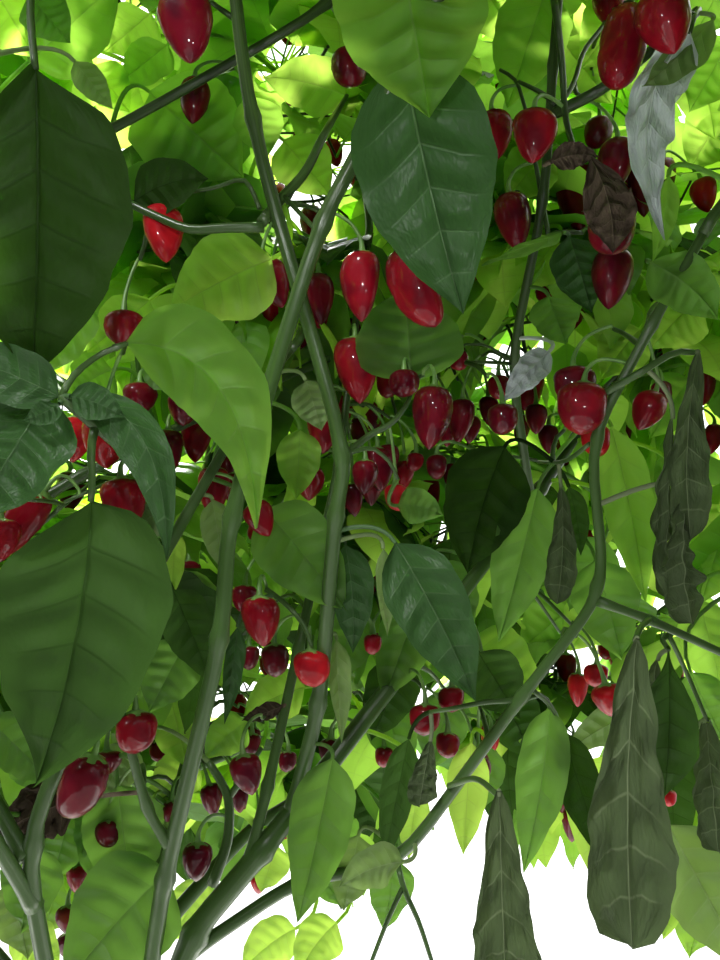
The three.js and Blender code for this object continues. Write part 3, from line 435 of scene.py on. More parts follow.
# Fruit round the hollow: form, tone, top, tip, width.
HERO_FRUIT = [
    ("drop", "dark", (39, -275, 845), (43, -267, 816), 23),
    ("drop", "dark", (15, -163, 927), (16, -155, 901), 18),
    ("drop", "bright", (15, -196, 802), (16, -188, 774), 20),
    ("round", "dark", (107, -192, 914), (107, -187, 894), 19),
    ("drop", "red", (115, -187, 781), (115, -177, 747), 20),
    ("long", "red", (134, -202, 771), (146, -190, 734), 22),
    ("drop", "dark", (61, -148, 806), (71, -141, 780), 19),
    ("drop", "dark", (89, -119, 819), (89, -110, 789), 18),
    ("long", "red", (243, -245, 878), (235, -233, 840), 22),
    ("drop", "red", (246, -266, 860), (254, -258, 833), 24),
    ("drop", "red", (261, -190, 971), (260, -184, 946), 20),
    ("drop", "dark", (280, -136, 998), (272, -123, 959), 20),
    ("drop", "red", (188, -179, 883), (192, -172, 857), 19),
    ("drop", "red", (197, -227, 831), (196, -220, 807), 21),
    ("round", "dark", (256, -92, 976), (255, -85, 951), 17),
    ("drop", "dark", (197, -164, 839), (202, -155, 808), 20),
    ("drop", "red", (253, -102, 914), (259, -88, 872), 20),
    ("drop", "dark", (257, -176, 866), (256, -168, 840), 20),
    ("drop", "dark", (303, -106, 925), (298, -93, 884), 20),
    ("round", "dark", (268, -129, 932), (267, -124, 913), 18),
    ("round", "dark", (235, -209, 789), (234, -204, 767), 22),
    ("drop", "dark", (248, -172, 795), (243, -163, 764), 21),
    ("drop", "bright", (363, -61, 946), (369, -55, 922), 19),
    ("drop", "dark", (342, -55, 971), (341, -46, 941), 18),
    ("drop", "red", (111, -111, 779), (111, -99, 742), 26),
    ("drop", "red", (92, -98, 742), (92, -90, 714), 20),
    ("drop", "red", (83, -76, 712), (84, -71, 692), 18),
    ("long", "red", (58, -7, 710), (39, -2, 690), 15),
    ("drop", "dark", (153, -145, 728), (150, -136, 696), 21),
    ("round", "red", (176, -81, 789), (176, -79, 776), 12),
    ("drop", "dark", (181, -54, 769), (180, -46, 741), 17),
    ("round", "red", (202, -72, 776), (202, -69, 761), 14),
    ("round", "dark", (190, -136, 722), (190, -133, 706), 16),
    ("long", "dark", (246, 60, 815), (245, 65, 794), 13),
    ("round", "bright", (134, -97, 692), (134, -94, 677), 13),
    ("round", "dark", (132, -55, 736), (132, -51, 719), 14),
    ("round", "red", (150, -46, 734), (149, -44, 722), 11),
    ("round", "dark", (164, -43, 734), (164, -40, 718), 13),
    ("drop", "dark", (121, -39, 731), (120, -31, 703), 17),
    ("round", "dark", (226, -149, 737), (226, -145, 718), 21),
    ("round", "red", (226, -163, 720), (223, -156, 695), 24),
    ("round", "bright", (249, -105, 725), (248, -101, 707), 16),
    ("drop", "red", (280, -118, 739), (271, -113, 718), 18),
    ("round", "dark", (310, -61, 778), (309, -58, 763), 13),
    ("drop", "dark", (332, 71, 813), (331, 77, 790), 12),
    ("drop", "dark", (351, -35, 802), (349, -28, 778), 18),
    ("drop", "red", (406, 71, 812), (404, 78, 788), 15),
    ("drop", "red", (0, -162, 669), (3, -155, 644), 21),
    ("drop", "bright", (-36, -137, 714), (-35, -131, 691), 19),
    ("drop", "bright", (-8, -172, 698), (-7, -165, 673), 22),
    ("drop", "dark", (-9, -123, 742), (-8, -119, 724), 19),
    ("drop", "dark", (16, -121, 737), (16, -117, 719), 19),
    ("drop", "red", (10, -64, 751), (11, -56, 723), 19),
    ("drop", "dark", (-119, 40, 782), (-118, 49, 752), 17),
    ("long", "red", (-44, -143, 670), (-67, -133, 639), 18),
    ("drop", "red", (-56, -157, 650), (-54, -152, 631), 18),
    ("drop", "red", (32, -103, 700), (32, -95, 673), 18),
    ("drop", "dark", (40, -75, 708), (40, -70, 689), 18),
    ("drop", "dark", (-30, -22, 717), (-29, -16, 693), 16),
    ("drop", "red", (-4, -176, 753), (-3, -172, 736), 20),
    ("drop", "dark", (14, 6, 879), (15, 9, 863), 14),
    ("drop", "dark", (38, -41, 851), (38, -35, 827), 17),
    ("drop", "red", (61, -103, 626), (62, -96, 601), 20),
    ("round", "bright", (87, -80, 602), (88, -75, 583), 19),
    ("round", "dark", (62, -30, 614), (63, -26, 595), 17),
    ("round", "dark", (42, 3, 619), (43, 6, 604), 13),
    ("drop", "dark", (1, 77, 690), (2, 86, 661), 17),
    ("round", "dark", (43, -37, 649), (43, -34, 632), 16),
    ("drop", "dark", (88, 112, 687), (88, 118, 664), 13),
    ("drop", "dark", (120, 73, 702), (120, 84, 667), 17),
    ("round", "red", (122, 0, 627), (122, 3, 613), 13),
    ("long", "dark", (144, 122, 686), (144, 132, 655), 13),
    ("round", "dark", (7, -36, 665), (7, -33, 650), 15),
    ("round", "red", (2, -102, 568), (3, -97, 548), 20),
    ("round", "dark", (-32, 86, 565), (-31, 88, 551), 13),
    ("long", "dark", (-7, -131, 546), (-16, -123, 519), 20),
    ("drop", "dark", (-21, -67, 551), (-20, -65, 539), 16),
    ("round", "dark", (-34, -3, 516), (-33, 0, 500), 16),
    ("round", "dark", (-81, 111, 503), (-80, 114, 487), 13),
    ("drop", "dark", (22, -20, 504), (22, -15, 484), 17),
    ("long", "red", (-21, 114, 526), (-30, 119, 505), 14),
    ("drop", "dark", (11, 64, 536), (17, 68, 516), 15),
    ("drop", "dark", (52, -68, 549), (56, -63, 529), 17),
    ("round", "dark", (27, 80, 533), (28, 84, 516), 14),
    ("drop", "dark", (37, 82, 575), (32, 86, 557), 13),
    ("round", "dark", (66, 43, 556), (66, 45, 543), 12),
    ("round", "dark", (96, -8, 561), (96, -5, 546), 14),
    ("round", "dark", (35, 154, 511), (35, 158, 494), 14),
    ("round", "dark", (-84, 95, 458), (-83, 98, 442), 15),
    ("drop", "dark", (-105, 162, 433), (-104, 166, 416), 15),
    ("drop", "red", (-62, 35, 489), (-61, 39, 472), 15),
    ("round", "red", (151, -49, 577), (151, -46, 560), 17),
    ("round", "red", (165, -30, 563), (164, -27, 549), 14),
    ("round", "red", (167, -45, 587), (167, -43, 573), 15),
    ("long", "red", (190, 31, 555), (194, 36, 536), 15),
    ("drop", "red", (195, 20, 613), (194, 27, 588), 16),
    ("round", "red", (130, 42, 559), (130, 44, 546), 12),
    ("drop", "bright", (221, 163, 584), (221, 171, 558), 15),
    ("drop", "bright", (267, 50, 608), (264, 55, 586), 14),
    ("round", "bright", (262, -12, 605), (261, -10, 591), 15),
    ("drop", "bright", (252, -57, 587), (256, -53, 570), 18),
    ("round", "bright", (345, 122, 533), (344, 124, 521), 12),
    ("drop", "dark", (288, 190, 518), (287, 197, 493), 15),
    ("drop", "dark", (279, 182, 538), (278, 188, 515), 12),
    ("long", "dark", (104, 160, 542), (77, 172, 505), 12),
    ("drop", "bright", (41, 121, 477), (41, 124, 463), 13),
    ("round", "dark", (216, 63, 783), (215, 65, 770), 12),
    ("drop", "red", (297, -8, 854), (296, -4, 836), 15),
    ("drop", "dark", (297, -19, 835), (296, -14, 814), 16),
    ("drop", "red", (213, 29, 916), (212, 34, 897), 13),
    ("drop", "dark", (123, -2, 794), (123, 3, 772), 16),
    ("drop", "dark", (150, 118, 697), (150, 124, 674), 12),
    ("drop", "dark", (74, -67, 829), (74, -60, 803), 20),
    ("drop", "red", (64, -55, 822), (64, -47, 795), 19),
    ("drop", "red", (57, -91, 839), (58, -82, 808), 18),
    ("drop", "red", (98, -25, 806), (99, -13, 768), 24),
    ("drop", "dark", (105, -65, 823), (105, -58, 797), 20),
    ("drop", "dark", (125, -57, 733), (125, -49, 706), 19),
    ("drop", "dark", (109, -13, 726), (109, -7, 704), 15),
    ("drop", "red", (145, -6, 746), (145, -1, 725), 14),
    ("drop", "dark", (174, -31, 771), (174, -25, 748), 15),
    ("drop", "dark", (234, -33, 776), (233, -28, 756), 15),
    ("drop", "dark", (246, -15, 769), (245, -11, 749), 14),
    ("drop", "dark", (191, -18, 775), (191, -13, 756), 14),
    ("drop", "dark", (-89, -76, 743), (-88, -69, 719), 16),
    ("drop", "dark", (1, -92, 728), (2, -86, 703), 20),
    ("round", "red", (133, -52, 792), (133, -48, 773), 16),
    ("drop", "red", (265, -96, 924), (269, -87, 893), 19),
    ("drop", "red", (298, -98, 929), (293, -89, 898), 19),
    ("drop", "dark", (279, -68, 884), (278, -61, 857), 18),
    ("drop", "dark", (114, 17, 792), (114, 23, 770), 15),
    ("round", "dark", (161, 65, 805), (161, 68, 787), 13),
    ("drop", "dark", (186, 50, 768), (185, 55, 749), 14),
    ("drop", "red", (230, -11, 804), (229, -7, 787), 13),
    ("drop", "dark", (210, 12, 806), (210, 17, 784), 15),
    ("drop", "red", (98, 81, 788), (98, 87, 766), 15),
    ("drop", "dark", (19, -2, 754), (20, 4, 730), 17),
    ("drop", "dark", (-72, -44, 722), (-71, -37, 697), 18),
    ("drop", "dark", (-28, 2, 743), (-27, 8, 720), 17),
    ("round", "dark", (-79, -20, 798), (-78, -15, 777), 17),
    ("round", "dark", (47, 98, 650), (47, 102, 632), 14),
    ("drop", "dark", (38, 83, 688), (38, 87, 668), 14),
    ("round", "dark", (150, 79, 583), (150, 81, 568), 13),
    ("drop", "dark", (-93, 151, 462), (-92, 155, 444), 15),
    ("drop", "dark", (-124, 175, 458), (-123, 179, 442), 14),
    ("drop", "dark", (333, 3, 827), (332, 8, 807), 15),
    ("drop", "dark", (351, 11, 807), (350, 17, 786), 15),
    ("drop", "dark", (322, 22, 884), (321, 28, 862), 16),
    ("drop", "dark", (121, 57, 693), (121, 66, 663), 15),
    ("round", "red", (121, -73, 612), (121, -72, 601), 10),
    ("drop", "red", (195, 20, 613), (195, 27, 587), 16),
    ("round", "dark", (183, -25, 550), (183, -22, 535), 14),
    ("drop", "bright", (212, 104, 576), (211, 110, 555), 12),
    ("round", "dark", (96, 27, 562), (96, 29, 548), 13),
    ("round", "dark", (-21, -49, 517), (-20, -46, 503), 14),
    ("drop", "dark", (-8, 41, 526), (-7, 45, 508), 13),
    ("round", "dark", (-57, 44, 504), (-56, 45, 494), 9),
    ("drop", "dark", (-72, 55, 464), (-71, 58, 447), 14),
    ("drop", "dark", (33, 52, 534), (34, 55, 518), 12),
    ("round", "dark", (42, 38, 567), (42, 41, 553), 12),
    ("drop", "dark", (117, -94, 708), (117, -89, 689), 15),
    ("drop", "red", (92, -78, 748), (94, -71, 724), 16),
    ("drop", "red", (56, -116, 673), (67, -113, 657), 16),
    ("round", "dark", (139, -120, 752), (139, -117, 737), 17),
    ("round", "dark", (31, -29, 907), (32, -26, 891), 15),
]

# Twigs round the hollow: route, radius at start and tip.
HERO_TWIGS = [
    (((68, -206, 781), (50, -206, 781), (32, -205, 780), (16, -204, 789), (0, -204, 798)), 2.6, 1.9),
    (((67, -207, 783), (73, -205, 796), (87, -204, 816), (96, -203, 844), (106, -156, 922)), 2.8, 1.3),
    (((66, -210, 789), (62, -211, 800), (57, -210, 808), (43, -203, 808), (30, -199, 809)), 1.2, 0.9),
    (((77, -206, 800), (85, -208, 788), (93, -220, 769)), 1.2, 1.1),
    (((17, -137, 656), (15, -167, 671), (8, -190, 673), (0, -204, 677), (-11, -217, 684)), 3.4, 2.4),
    (((0, -204, 676), (-2, -200, 667), (-1, -196, 657), (-2, -191, 647)), 2.0, 1.5),
    (((-11, -217, 684), (-8, -216, 695), (1, -212, 708), (12, -212, 713)), 1.6, 1.2),
    (((219, -155, 818), (205, -182, 904), (194, -181, 914)), 1.4, 1.0),
    (((218, -198, 869), (211, -196, 880), (201, -192, 892)), 1.5, 1.1),
    (((218, -197, 866), (230, -196, 886), (237, -195, 911), (253, -194, 935)), 1.5, 1.2),
    (((218, -196, 865), (236, -212, 862), (255, -222, 872), (279, -240, 884)), 3.2, 2.4),
    (((205, -96, 771), (190, -103, 768), (176, -108, 765)), 1.2, 0.9),
    (((206, -96, 773), (189, -107, 778), (174, -112, 775), (163, -112, 764)), 0.9, 0.7),
    (((230, -37, 733), (209, -47, 732), (191, -54, 727)), 1.2, 0.9),
    (((230, -148, 694), (225, -119, 696), (230, -41, 730)), 1.2, 1.2),
    (((107, -146, 689), (118, -134, 705), (132, -120, 719), (142, -114, 736), (144, -112, 748)), 2.0, 1.3),
    (((107, -146, 689), (120, -141, 696), (130, -130, 692), (134, -123, 685)), 1.2, 1.0),
    (((62, -83, 635), (74, -87, 626), (84, -86, 615), (88, -84, 604)), 1.6, 1.2),
    (((199, -79, 576), (180, -83, 575), (165, -80, 572), (152, -69, 571)), 1.6, 1.1),
    (((30, -11, 482), (39, -16, 505), (39, -22, 529), (26, -24, 547)), 3.4, 2.2),
    (((39, -21, 529), (48, -22, 542), (56, -23, 555)), 2.2, 1.3),
    (((135, -26, 493), (138, -28, 481), (146, -26, 466), (153, -24, 445)), 1.7, 1.2),
    (((137, -28, 482), (129, -26, 467), (119, -22, 444)), 1.4, 1.1),
    (((268, -114, 604), (263, -119, 600), (264, -124, 595)), 1.4, 1.2),
    (((269, -114, 604), (272, -111, 600), (283, -98, 584), (289, -96, 565)), 1.3, 1.0),
    (((261, -113, 612), (246, -140, 603), (236, -159, 593)), 1.7, 1.3),
    (((162, -56, 534), (171, -98, 538), (177, -125, 529)), 1.6, 1.4),
    (((199, -79, 576), (213, -76, 580), (217, -69, 573)), 1.4, 1.2),
    (((205, -83, 581), (218, -70, 574), (224, -61, 562)), 1.4, 1.2),
    (((233, -164, 713), (248, -179, 717), (265, -183, 727), (274, -183, 726)), 2.0, 1.5),
    (((214, -227, 909), (216, -221, 873), (216, -214, 841), (219, -213, 822)), 2.0, 1.4),
    (((123, -239, 796), (128, -252, 812), (132, -269, 816)), 2.2, 1.6),
    (((140, -259, 828), (136, -274, 851), (130, -293, 855)), 2.0, 1.5),
    (((279, -240, 884), (272, -246, 871), (269, -245, 862)), 1.6, 1.2),
    (((-37, -262, 888), (-33, -263, 853), (-26, -261, 820)), 2.0, 1.6),
    (((-95, -153, 860), (-87, -215, 880), (-62, -253, 894), (-37, -262, 888)), 3.0, 2.0),
]


def chance(*keys):
    """A number from 0 to 1 that depends only on its keys."""
    h = 2166136261
    for key in keys:
        h = ((h ^ key) * 16777619) & 0xFFFFFFFF
        h ^= h >> 15
        h = (h * 2246822519) & 0xFFFFFFFF
        h ^= h >> 13
    return h / 4294967296


def centred(*keys):
    return 2 * chance(*keys) - 1


def unit(v):
    return v / np.linalg.norm(v)


def quadratic(start, bend, end, t):
    """A curve from start to end, drawn towards bend."""
    return (1 - t) ** 2 * start + 2 * t * (1 - t) * bend + t * t * end


# ---- limbs -------------------------------------------------------------------


def run_lengths(path):
    steps = np.linalg.norm(np.diff(path, axis=0), axis=1)
    return np.concatenate([[0], np.cumsum(steps)])


def points_at(path, lengths, wanted):
    return np.stack([np.interp(wanted, lengths, path[:, k]) for k in range(3)], axis=-1)


def nearest_on(path, point):
    """The nearest point on a polyline."""
    best = (math.inf, None)
    for a, b in zip(path[:-1], path[1:]):
        t = np.clip(np.dot(point - a, b - a) / np.dot(b - a, b - a), 0, 1)
        near = a + t * (b - a)
        gap = np.linalg.norm(near - point)
        if gap < best[0]:
            best = (gap, near)
    return best[1]


def reaching_route(parent_path, share, centre, radius, seed):
    """A rising, slightly zigzag route from a parent limb to the edge of a mass."""
    lengths = run_lengths(parent_path)
    start = points_at(parent_path, lengths, share * lengths[-1])
    away = centre - start
    reach = np.linalg.norm(away)
    entry = centre - ENTRY * radius * away / reach
    bend = start + 0.4 * (entry - start) + np.array([0, 0, 0.5 * LIFT * reach])
    across = unit(np.array([-away[1], away[0], 0]))
    points = []
    for i in range(5):
        point = quadratic(start, bend, entry, i / 4)
        if 0 < i < 4:
            turn = (1 if i % 2 else -1) * KINK * reach * (0.5 + chance(seed, i))
            point = point + across * turn
        points.append(point)
    return np.array(points)


def limb_routes():
    """Every limb's route, and its radii at the start and the tip."""
    routes = {"trunk": (np.array(TRUNK_ROUTE, float), TRUNK_RADII)}
    for name, parent, radii, route in ROUTED_LIMBS:
        path = np.array(route, float)
        path[0] = nearest_on(routes[parent][0], path[0])
        routes[name] = (path, radii)
    for i, (name, parent, share, radii) in enumerate(REACHING_LIMBS):
        mass = next(m for m in MASSES if m[1] == name)
        path = reaching_route(routes[parent][0], share, np.array(mass[2], float), mass[3], i + 1)
        routes[name] = (path, radii)
    return routes


def smoothed(path, cut):
    """Corners cut twice, so that a limb bends over a node's length."""
    for _ in range(2):
        points = [path[0]]
        for i in range(1, len(path) - 1):
            points.append(path[i] + cut * (path[i - 1] - path[i]))
            points.append(path[i] + cut * (path[i + 1] - path[i]))
        points.append(path[-1])
        path = np.array(points)
    return path


def resampled(path, step):
    """A path in even steps, and how far along it each point lies."""
    lengths = run_lengths(path)
    count = max(int(round(lengths[-1] / step)), 2) + 1
    wanted = np.linspace(0, lengths[-1], count)
    return points_at(path, lengths, wanted), wanted


# ---- meshes from arrays ------------------------------------------------------


class Heap:
    """Vertices, faces and surface coordinates that end up as one mesh."""

    def __init__(self):
        self.points, self.uvs, self.quads, self.tris = [], [], [], [np.zeros((0, 3), int)]
        self.count = 0

    def add(self, points, uvs, quads, tris=None):
        points = points.reshape(-1, 3)
        self.points.append(points)
        self.uvs.append(uvs.reshape(-1, 2))
        self.quads.append(quads + self.count)
        if tris is not None:
            self.tris.append(tris + self.count)
        self.count += len(points)

    def mesh(self, name, uv_name):
        points = np.concatenate(self.points) * MM
        uvs, quads, tris = (np.concatenate(part) for part in (self.uvs, self.quads, self.tris))
        loops = np.concatenate([quads.ravel(), tris.ravel()]).astype(np.int32)
        starts = np.concatenate([np.arange(len(quads)) * 4, len(quads) * 4 + np.arange(len(tris)) * 3])
        mesh = bpy.data.meshes.new(name)
        mesh.vertices.add(len(points))
        mesh.vertices.foreach_set("co", points.astype(np.float32).ravel())
        mesh.loops.add(len(loops))
        mesh.loops.foreach_set("vertex_index", loops)
        mesh.polygons.add(len(starts))
        mesh.polygons.foreach_set("loop_start", starts.astype(np.int32))
        mesh.polygons.foreach_set("use_smooth", np.ones(len(starts), bool))
        layer = mesh.uv_layers.new(name=uv_name)
        layer.data.foreach_set("uv", uvs[loops].astype(np.float32).ravel())
        mesh.update(calc_edges=True)
        mesh.validate()
        return mesh


def grid_quads(rows, cols, wrap):
    r = np.arange(rows - 1)[:, None]
    c = np.arange(cols if wrap else cols - 1)[None, :]
    a = r * cols + c
    b = r * cols + (c + 1) % cols
    return np.stack([a, b, b + cols, a + cols], axis=-1).reshape(-1, 4)


def cap_tris(sides, rows):
    """Fans that close a tube's ends; their hubs are the two points that follow its rings."""
    k = np.arange(sides)
    n = (k + 1) % sides
    hub, base = rows * sides, (rows - 1) * sides
    return np.concatenate([np.stack([np.full(sides, hub), n, k], 1),
                           np.stack([np.full(sides, hub + 1), base + k, base + n], 1)])


def round_angles(sides):
    return np.linspace(0, 2 * math.pi, sides, endpoint=False)


def ring_points(centres, radius, angle, side, up):
    """Rings of points about their centres, in the plane of side and up."""
    spokes = np.cos(angle)[:, None] * side[..., None, :] + np.sin(angle)[:, None] * up[..., None, :]
    return centres[:, None, :] + radius[..., None] * spokes


def ring_uvs(sides, along):
    """Surface coordinates of rings: from 1 to 0 and back to 1 round them, and along as given."""
    u = np.abs(np.linspace(-1, 1, sides, endpoint=False))
    return np.stack(np.broadcast_arrays(u[None, :], along[:, None]), axis=-1).reshape(-1, 2)


def carried_frames(path):
    """Headings and sideways directions along a path, carried without twist."""
    ahead = np.gradient(path, axis=0)
    ahead /= np.linalg.norm(ahead, axis=1)[:, None]
    side = np.array([1.0, 0, 0]) if abs(ahead[0][0]) < 0.8 else np.array([0, 1.0, 0])
    sides = []
    for heading in ahead:
        side = unit(side - heading * np.dot(side, heading))
        sides.append(side)
    sides = np.array(sides)
    return ahead, sides, np.cross(ahead, sides)


def add_tube(heap, path, radii, sides, ridge=0.0, turn=0.0, caps=True, v0=0.0):
    """A round or ridged tube; its surface coordinates run round it and along it from v0."""
    ahead, side, up = carried_frames(path)
    angle = round_angles(sides)
    lengths = run_lengths(path)
    swell = 1 + ridge * np.cos(STEM_RIDGES * angle[None, :] + turn + lengths[:, None] * RIDGE_TWIST)
    points = ring_points(path, radii[:, None] * swell, angle, side, up).reshape(-1, 3)
    uvs = ring_uvs(sides, v0 + lengths * V_PER_MM)
    tris = None
    if caps:
        points = np.concatenate([points, [path[0], path[-1] + ahead[-1] * radii[-1] * 0.5]])
        uvs = np.concatenate([uvs, [[0, v0], [0, v0 + lengths[-1] * V_PER_MM]]])
        tris = cap_tris(sides, len(path))
    heap.add(points, uvs, grid_quads(len(path), sides, True), tris)


def add_twig(heap, path, ends, sides, step, cut=TWIG_CUT):
    """A tapered twig along a smoothed path; its points are handed back."""
    fine, along = resampled(smoothed(path, cut), step)
    add_tube(heap, fine, np.interp(along, [0, along[-1]], ends), sides)
    return fine


# ---- leaves ------------------------------------------------------------------


def outline(t, widest, limp):
    """Half-width of a leaf along its length: a broad base and a drawn-out tip; a limp leaf hangs
    gathered at its root and broad below."""
    if limp:
        return np.interp(t, LIMP_AT, LIMP)
    return np.interp(t ** (math.log(WIDEST) / math.log(widest)), OUTLINE_AT, OUTLINE)


def add_blade(heap, arc, normals, width, shape, columns, rows):
    """A blade along an arc, quilted between its veins.

    arc and normals are functions of the share of the blade's length."""
    a = (np.linspace(0, 1, rows) ** ROW_CROWDING)[:, None] * np.ones((1, len(columns)))
    s = columns[None, :] * np.ones((rows, 1))
    reach = np.abs(s)
    half_turn = s > 0
    lag = VEIN_LAG * np.sqrt(np.clip(a * (1 - a), 0, 1)) * (1 - a)
    t = np.clip(a + reach * lag, 0, 1)
    phase = shape["phase"]
    edge = 1 + shape["ragged"] * (np.sin(2 * math.pi * (a * 3.1 + phase + 0.4 * half_turn))
                                  + 0.5 * np.sin(2 * math.pi * (a * 7.3 + 3 * phase + 0.3 * half_turn)))
    half = width * 0.5 * outline(np.clip(a + lag, 0, 1), shape["widest"], shape["limp"]) * edge
    centre, ahead = arc(t)
    normal = normals(t)
    side = np.cross(ahead, normal)
    side /= np.linalg.norm(side, axis=-1)[..., None]
    normal = np.cross(side, ahead)
    crest = np.abs(np.sin(math.pi * VEIN_PAIRS * a))
    lift = half * (shape["fold"] * reach - shape["curl"] * reach ** 2.4)
    wave = np.sin(2 * math.pi * (t * 2.3 + phase + 0.31 * half_turn))
    lift = lift + shape["wave"] * width * reach ** 2 * wave
    lift = lift + shape["quilt"] * width * crest * reach ** 0.5 * (1 - reach) * 2.0
    crease = (np.sin(9.0 * t + 5 * s + 20 * phase) * np.sin(17 * t - 7 * s + 9 * phase)
              + 0.6 * np.sin(31 * t + 4 * s) + 0.5 * np.sin(12 * s + 19 * t + 7 * phase))
    lift = lift + (shape["crumple"] * width * crease * (0.3 + reach)
                   * np.sin(math.pi * np.clip(a, 0, 1)) ** 0.5)
    turn = shape["twist"] * (t - 0.3)
    across = s * half * (1 - 0.12 * shape["fold"] * reach)
    c, d = np.cos(turn), np.sin(turn)
    points = centre + side * (across * c - lift * d)[..., None] + normal * (across * d + lift * c)[..., None]
    uvs = np.stack([0.5 + 0.46 * s, BLADE_V0 + BLADE_V * a], axis=-1)
    heap.add(points, uvs, grid_quads(*a.shape, False))


def add_petiole(heap, path, radii, sides):
    """A leaf stalk; its surface coordinates lie on the midrib's foot, so that it takes its colour."""
    _, side, up = carried_frames(path)
    angle = round_angles(sides)
    points = ring_points(path, radii[:, None], angle, side, up)
    u = 0.5 + 0.003 * np.sin(angle)
    v = np.linspace(0.0, 0.028, len(path))
    uvs = np.stack(np.broadcast_arrays(u[None, :], v[:, None]), axis=-1)
    heap.add(points, uvs, grid_quads(len(path), sides, True))


def turned(vector, axis, angle):
    """Vectors turned about their axes."""
    along = np.sum(axis * vector, axis=-1)[..., None] * axis
    return along + (vector - along) * math.cos(angle) + np.cross(axis, vector) * math.sin(angle)


def nearest_anchor(anchors, point, heading):
    """The nearest stem behind a leaf."""
    away = anchors - point
    gap = np.linalg.norm(away, axis=1)
    cost = gap * (1.0 + 0.8 * np.maximum(0, away @ heading / np.maximum(gap, 1e-6))) + 6
    return anchors[np.argmin(cost)]


def add_hero_leaf(heap, row, index, anchors):
    """One of the leaves round the hollow, its underside to the open front."""
    kind, root, bend, tip, width, *rest = row
    fold, turn, widest = (*rest, *HERO_LEAF_DEFAULTS[len(rest):])
    root, bend, tip = (np.array(p, float) for p in (root, bend, tip))
    inward = np.array([0.0, math.cos(OPENING_PITCH), math.sin(OPENING_PITCH)])

    def arc(t):
        t = np.asarray(t)[..., None]
        ahead = 2 * (1 - t) * (bend - root) + 2 * t * (tip - bend)
        return quadratic(root, bend, tip, t), ahead / np.linalg.norm(ahead, axis=-1)[..., None]

    def normals(t):
        _, ahead = arc(t)
        away = inward * np.ones_like(ahead)
        away = away - ahead * np.sum(away * ahead, axis=-1)[..., None]
        away /= np.linalg.norm(away, axis=-1)[..., None]
        return turned(away, ahead, math.radians(turn))

    withered = kind in CRUMPLE
    shape = {"fold": fold, "curl": 0.6 if withered else 0.25,
             "wave": (0.05 if withered else 0.036) * (0.7 + 0.6 * chance(index, 53)),
             "phase": chance(index, 54), "quilt": 0.042, "twist": 0.3 * centred(index, 55),
             "ragged": 0.05 if withered else 0.02, "crumple": CRUMPLE.get(kind, 0.012),
             "widest": widest, "limp": kind == "wilt"}
    if withered or width > FINE_WIDTH:
        add_blade(heap, arc, normals, width, shape, FINE_COLUMNS, 34 if withered else 31)
    else:
        add_blade(heap, arc, normals, width, shape, HALF_FINE_COLUMNS, 19)
    _, heading = arc(0.0)
    foot = nearest_anchor(anchors, root, heading)
    gap = np.linalg.norm(foot - root)
    path = quadratic(foot, root - heading * 0.5 * gap, root, np.linspace(0, 1, 9)[:, None])
    add_petiole(heap, path, np.linspace(1.1 + min(gap, 90) * 0.008, 1.1, 9), 6)


def new_leaf(root, azimuth, pitch, keys):
    """A leaf's drooping arc: where it starts, how it heads, bends and rolls, and how long it is."""
    return {"root": root, "azimuth": azimuth, "pitch": pitch, "key": keys,
            "droop": 1.3 + 0.5 * centred(*keys, 3), "roll": 0.4 * centred(*keys, 4),
            "length": LEAF_LENGTH * (1 + LEAF_SPREAD * centred(*keys, 5))}


def arc_point(leaf, at):
    """Point on a leaf's arc, which droops evenly from root to tip; at may be an array."""
    pitch = leaf["pitch"] - leaf["droop"] * at
    out = (math.sin(leaf["pitch"]) - np.sin(pitch)) / leaf["droop"]
    rise = (np.cos(pitch) - math.cos(leaf["pitch"])) / leaf["droop"]
    east, north = math.cos(leaf["azimuth"]), math.sin(leaf["azimuth"])
    length = leaf["length"]
    offset = np.stack([length * out * east, length * out * north, length * rise], axis=-1)
    return leaf["root"] + offset


def arc_axes(leaf, at):
    """A leaf's heading and the direction that its upper face looks."""
    pitch = leaf["pitch"] - leaf["droop"] * at
    east, north = math.cos(leaf["azimuth"]), math.sin(leaf["azimuth"])
    ahead = np.stack([np.cos(pitch) * east, np.cos(pitch) * north, np.sin(pitch)], axis=-1)
    normal = np.stack([-np.sin(pitch) * east, -np.sin(pitch) * north, np.cos(pitch)], axis=-1)
    level = np.array([-north, east, 0.0])
    c, s = math.cos(leaf["roll"]), math.sin(leaf["roll"])
    return ahead, normal * c - level * s


def add_grown_leaf(heap, leaf):
    """One leaf of a mass: a stalk, then a blade along the same arc."""

    def arc(t):
        at = PETIOLE_SHARE + (1 - PETIOLE_SHARE) * t
        ahead, _ = arc_axes(leaf, at)
        return arc_point(leaf, at), ahead

    def normals(t):
        return arc_axes(leaf, PETIOLE_SHARE + (1 - PETIOLE_SHARE) * t)[1]

    key = leaf["key"]
    shape = {"fold": 0.28 + 0.2 * centred(*key, 51), "curl": 0.12 + 0.22 * chance(*key, 52),
             "wave": 0.02 + 0.03 * chance(*key, 53), "phase": chance(*key, 54), "quilt": 0.0,
             "twist": 0.5 * centred(*key, 55), "ragged": 0.0, "crumple": 0.0,
             "widest": WIDEST, "limp": False}
    width = leaf["length"] * (1 - PETIOLE_SHARE) * (0.62 + 0.07 * centred(*key, 56))
    add_blade(heap, arc, normals, width, shape, COLUMNS, 10)
    add_petiole(heap, arc_point(leaf, np.linspace(0, PETIOLE_SHARE, 3)), np.array([1.2, 1.0, 0.9]), 3)


# ---- room to grow ------------------------------------------------------------


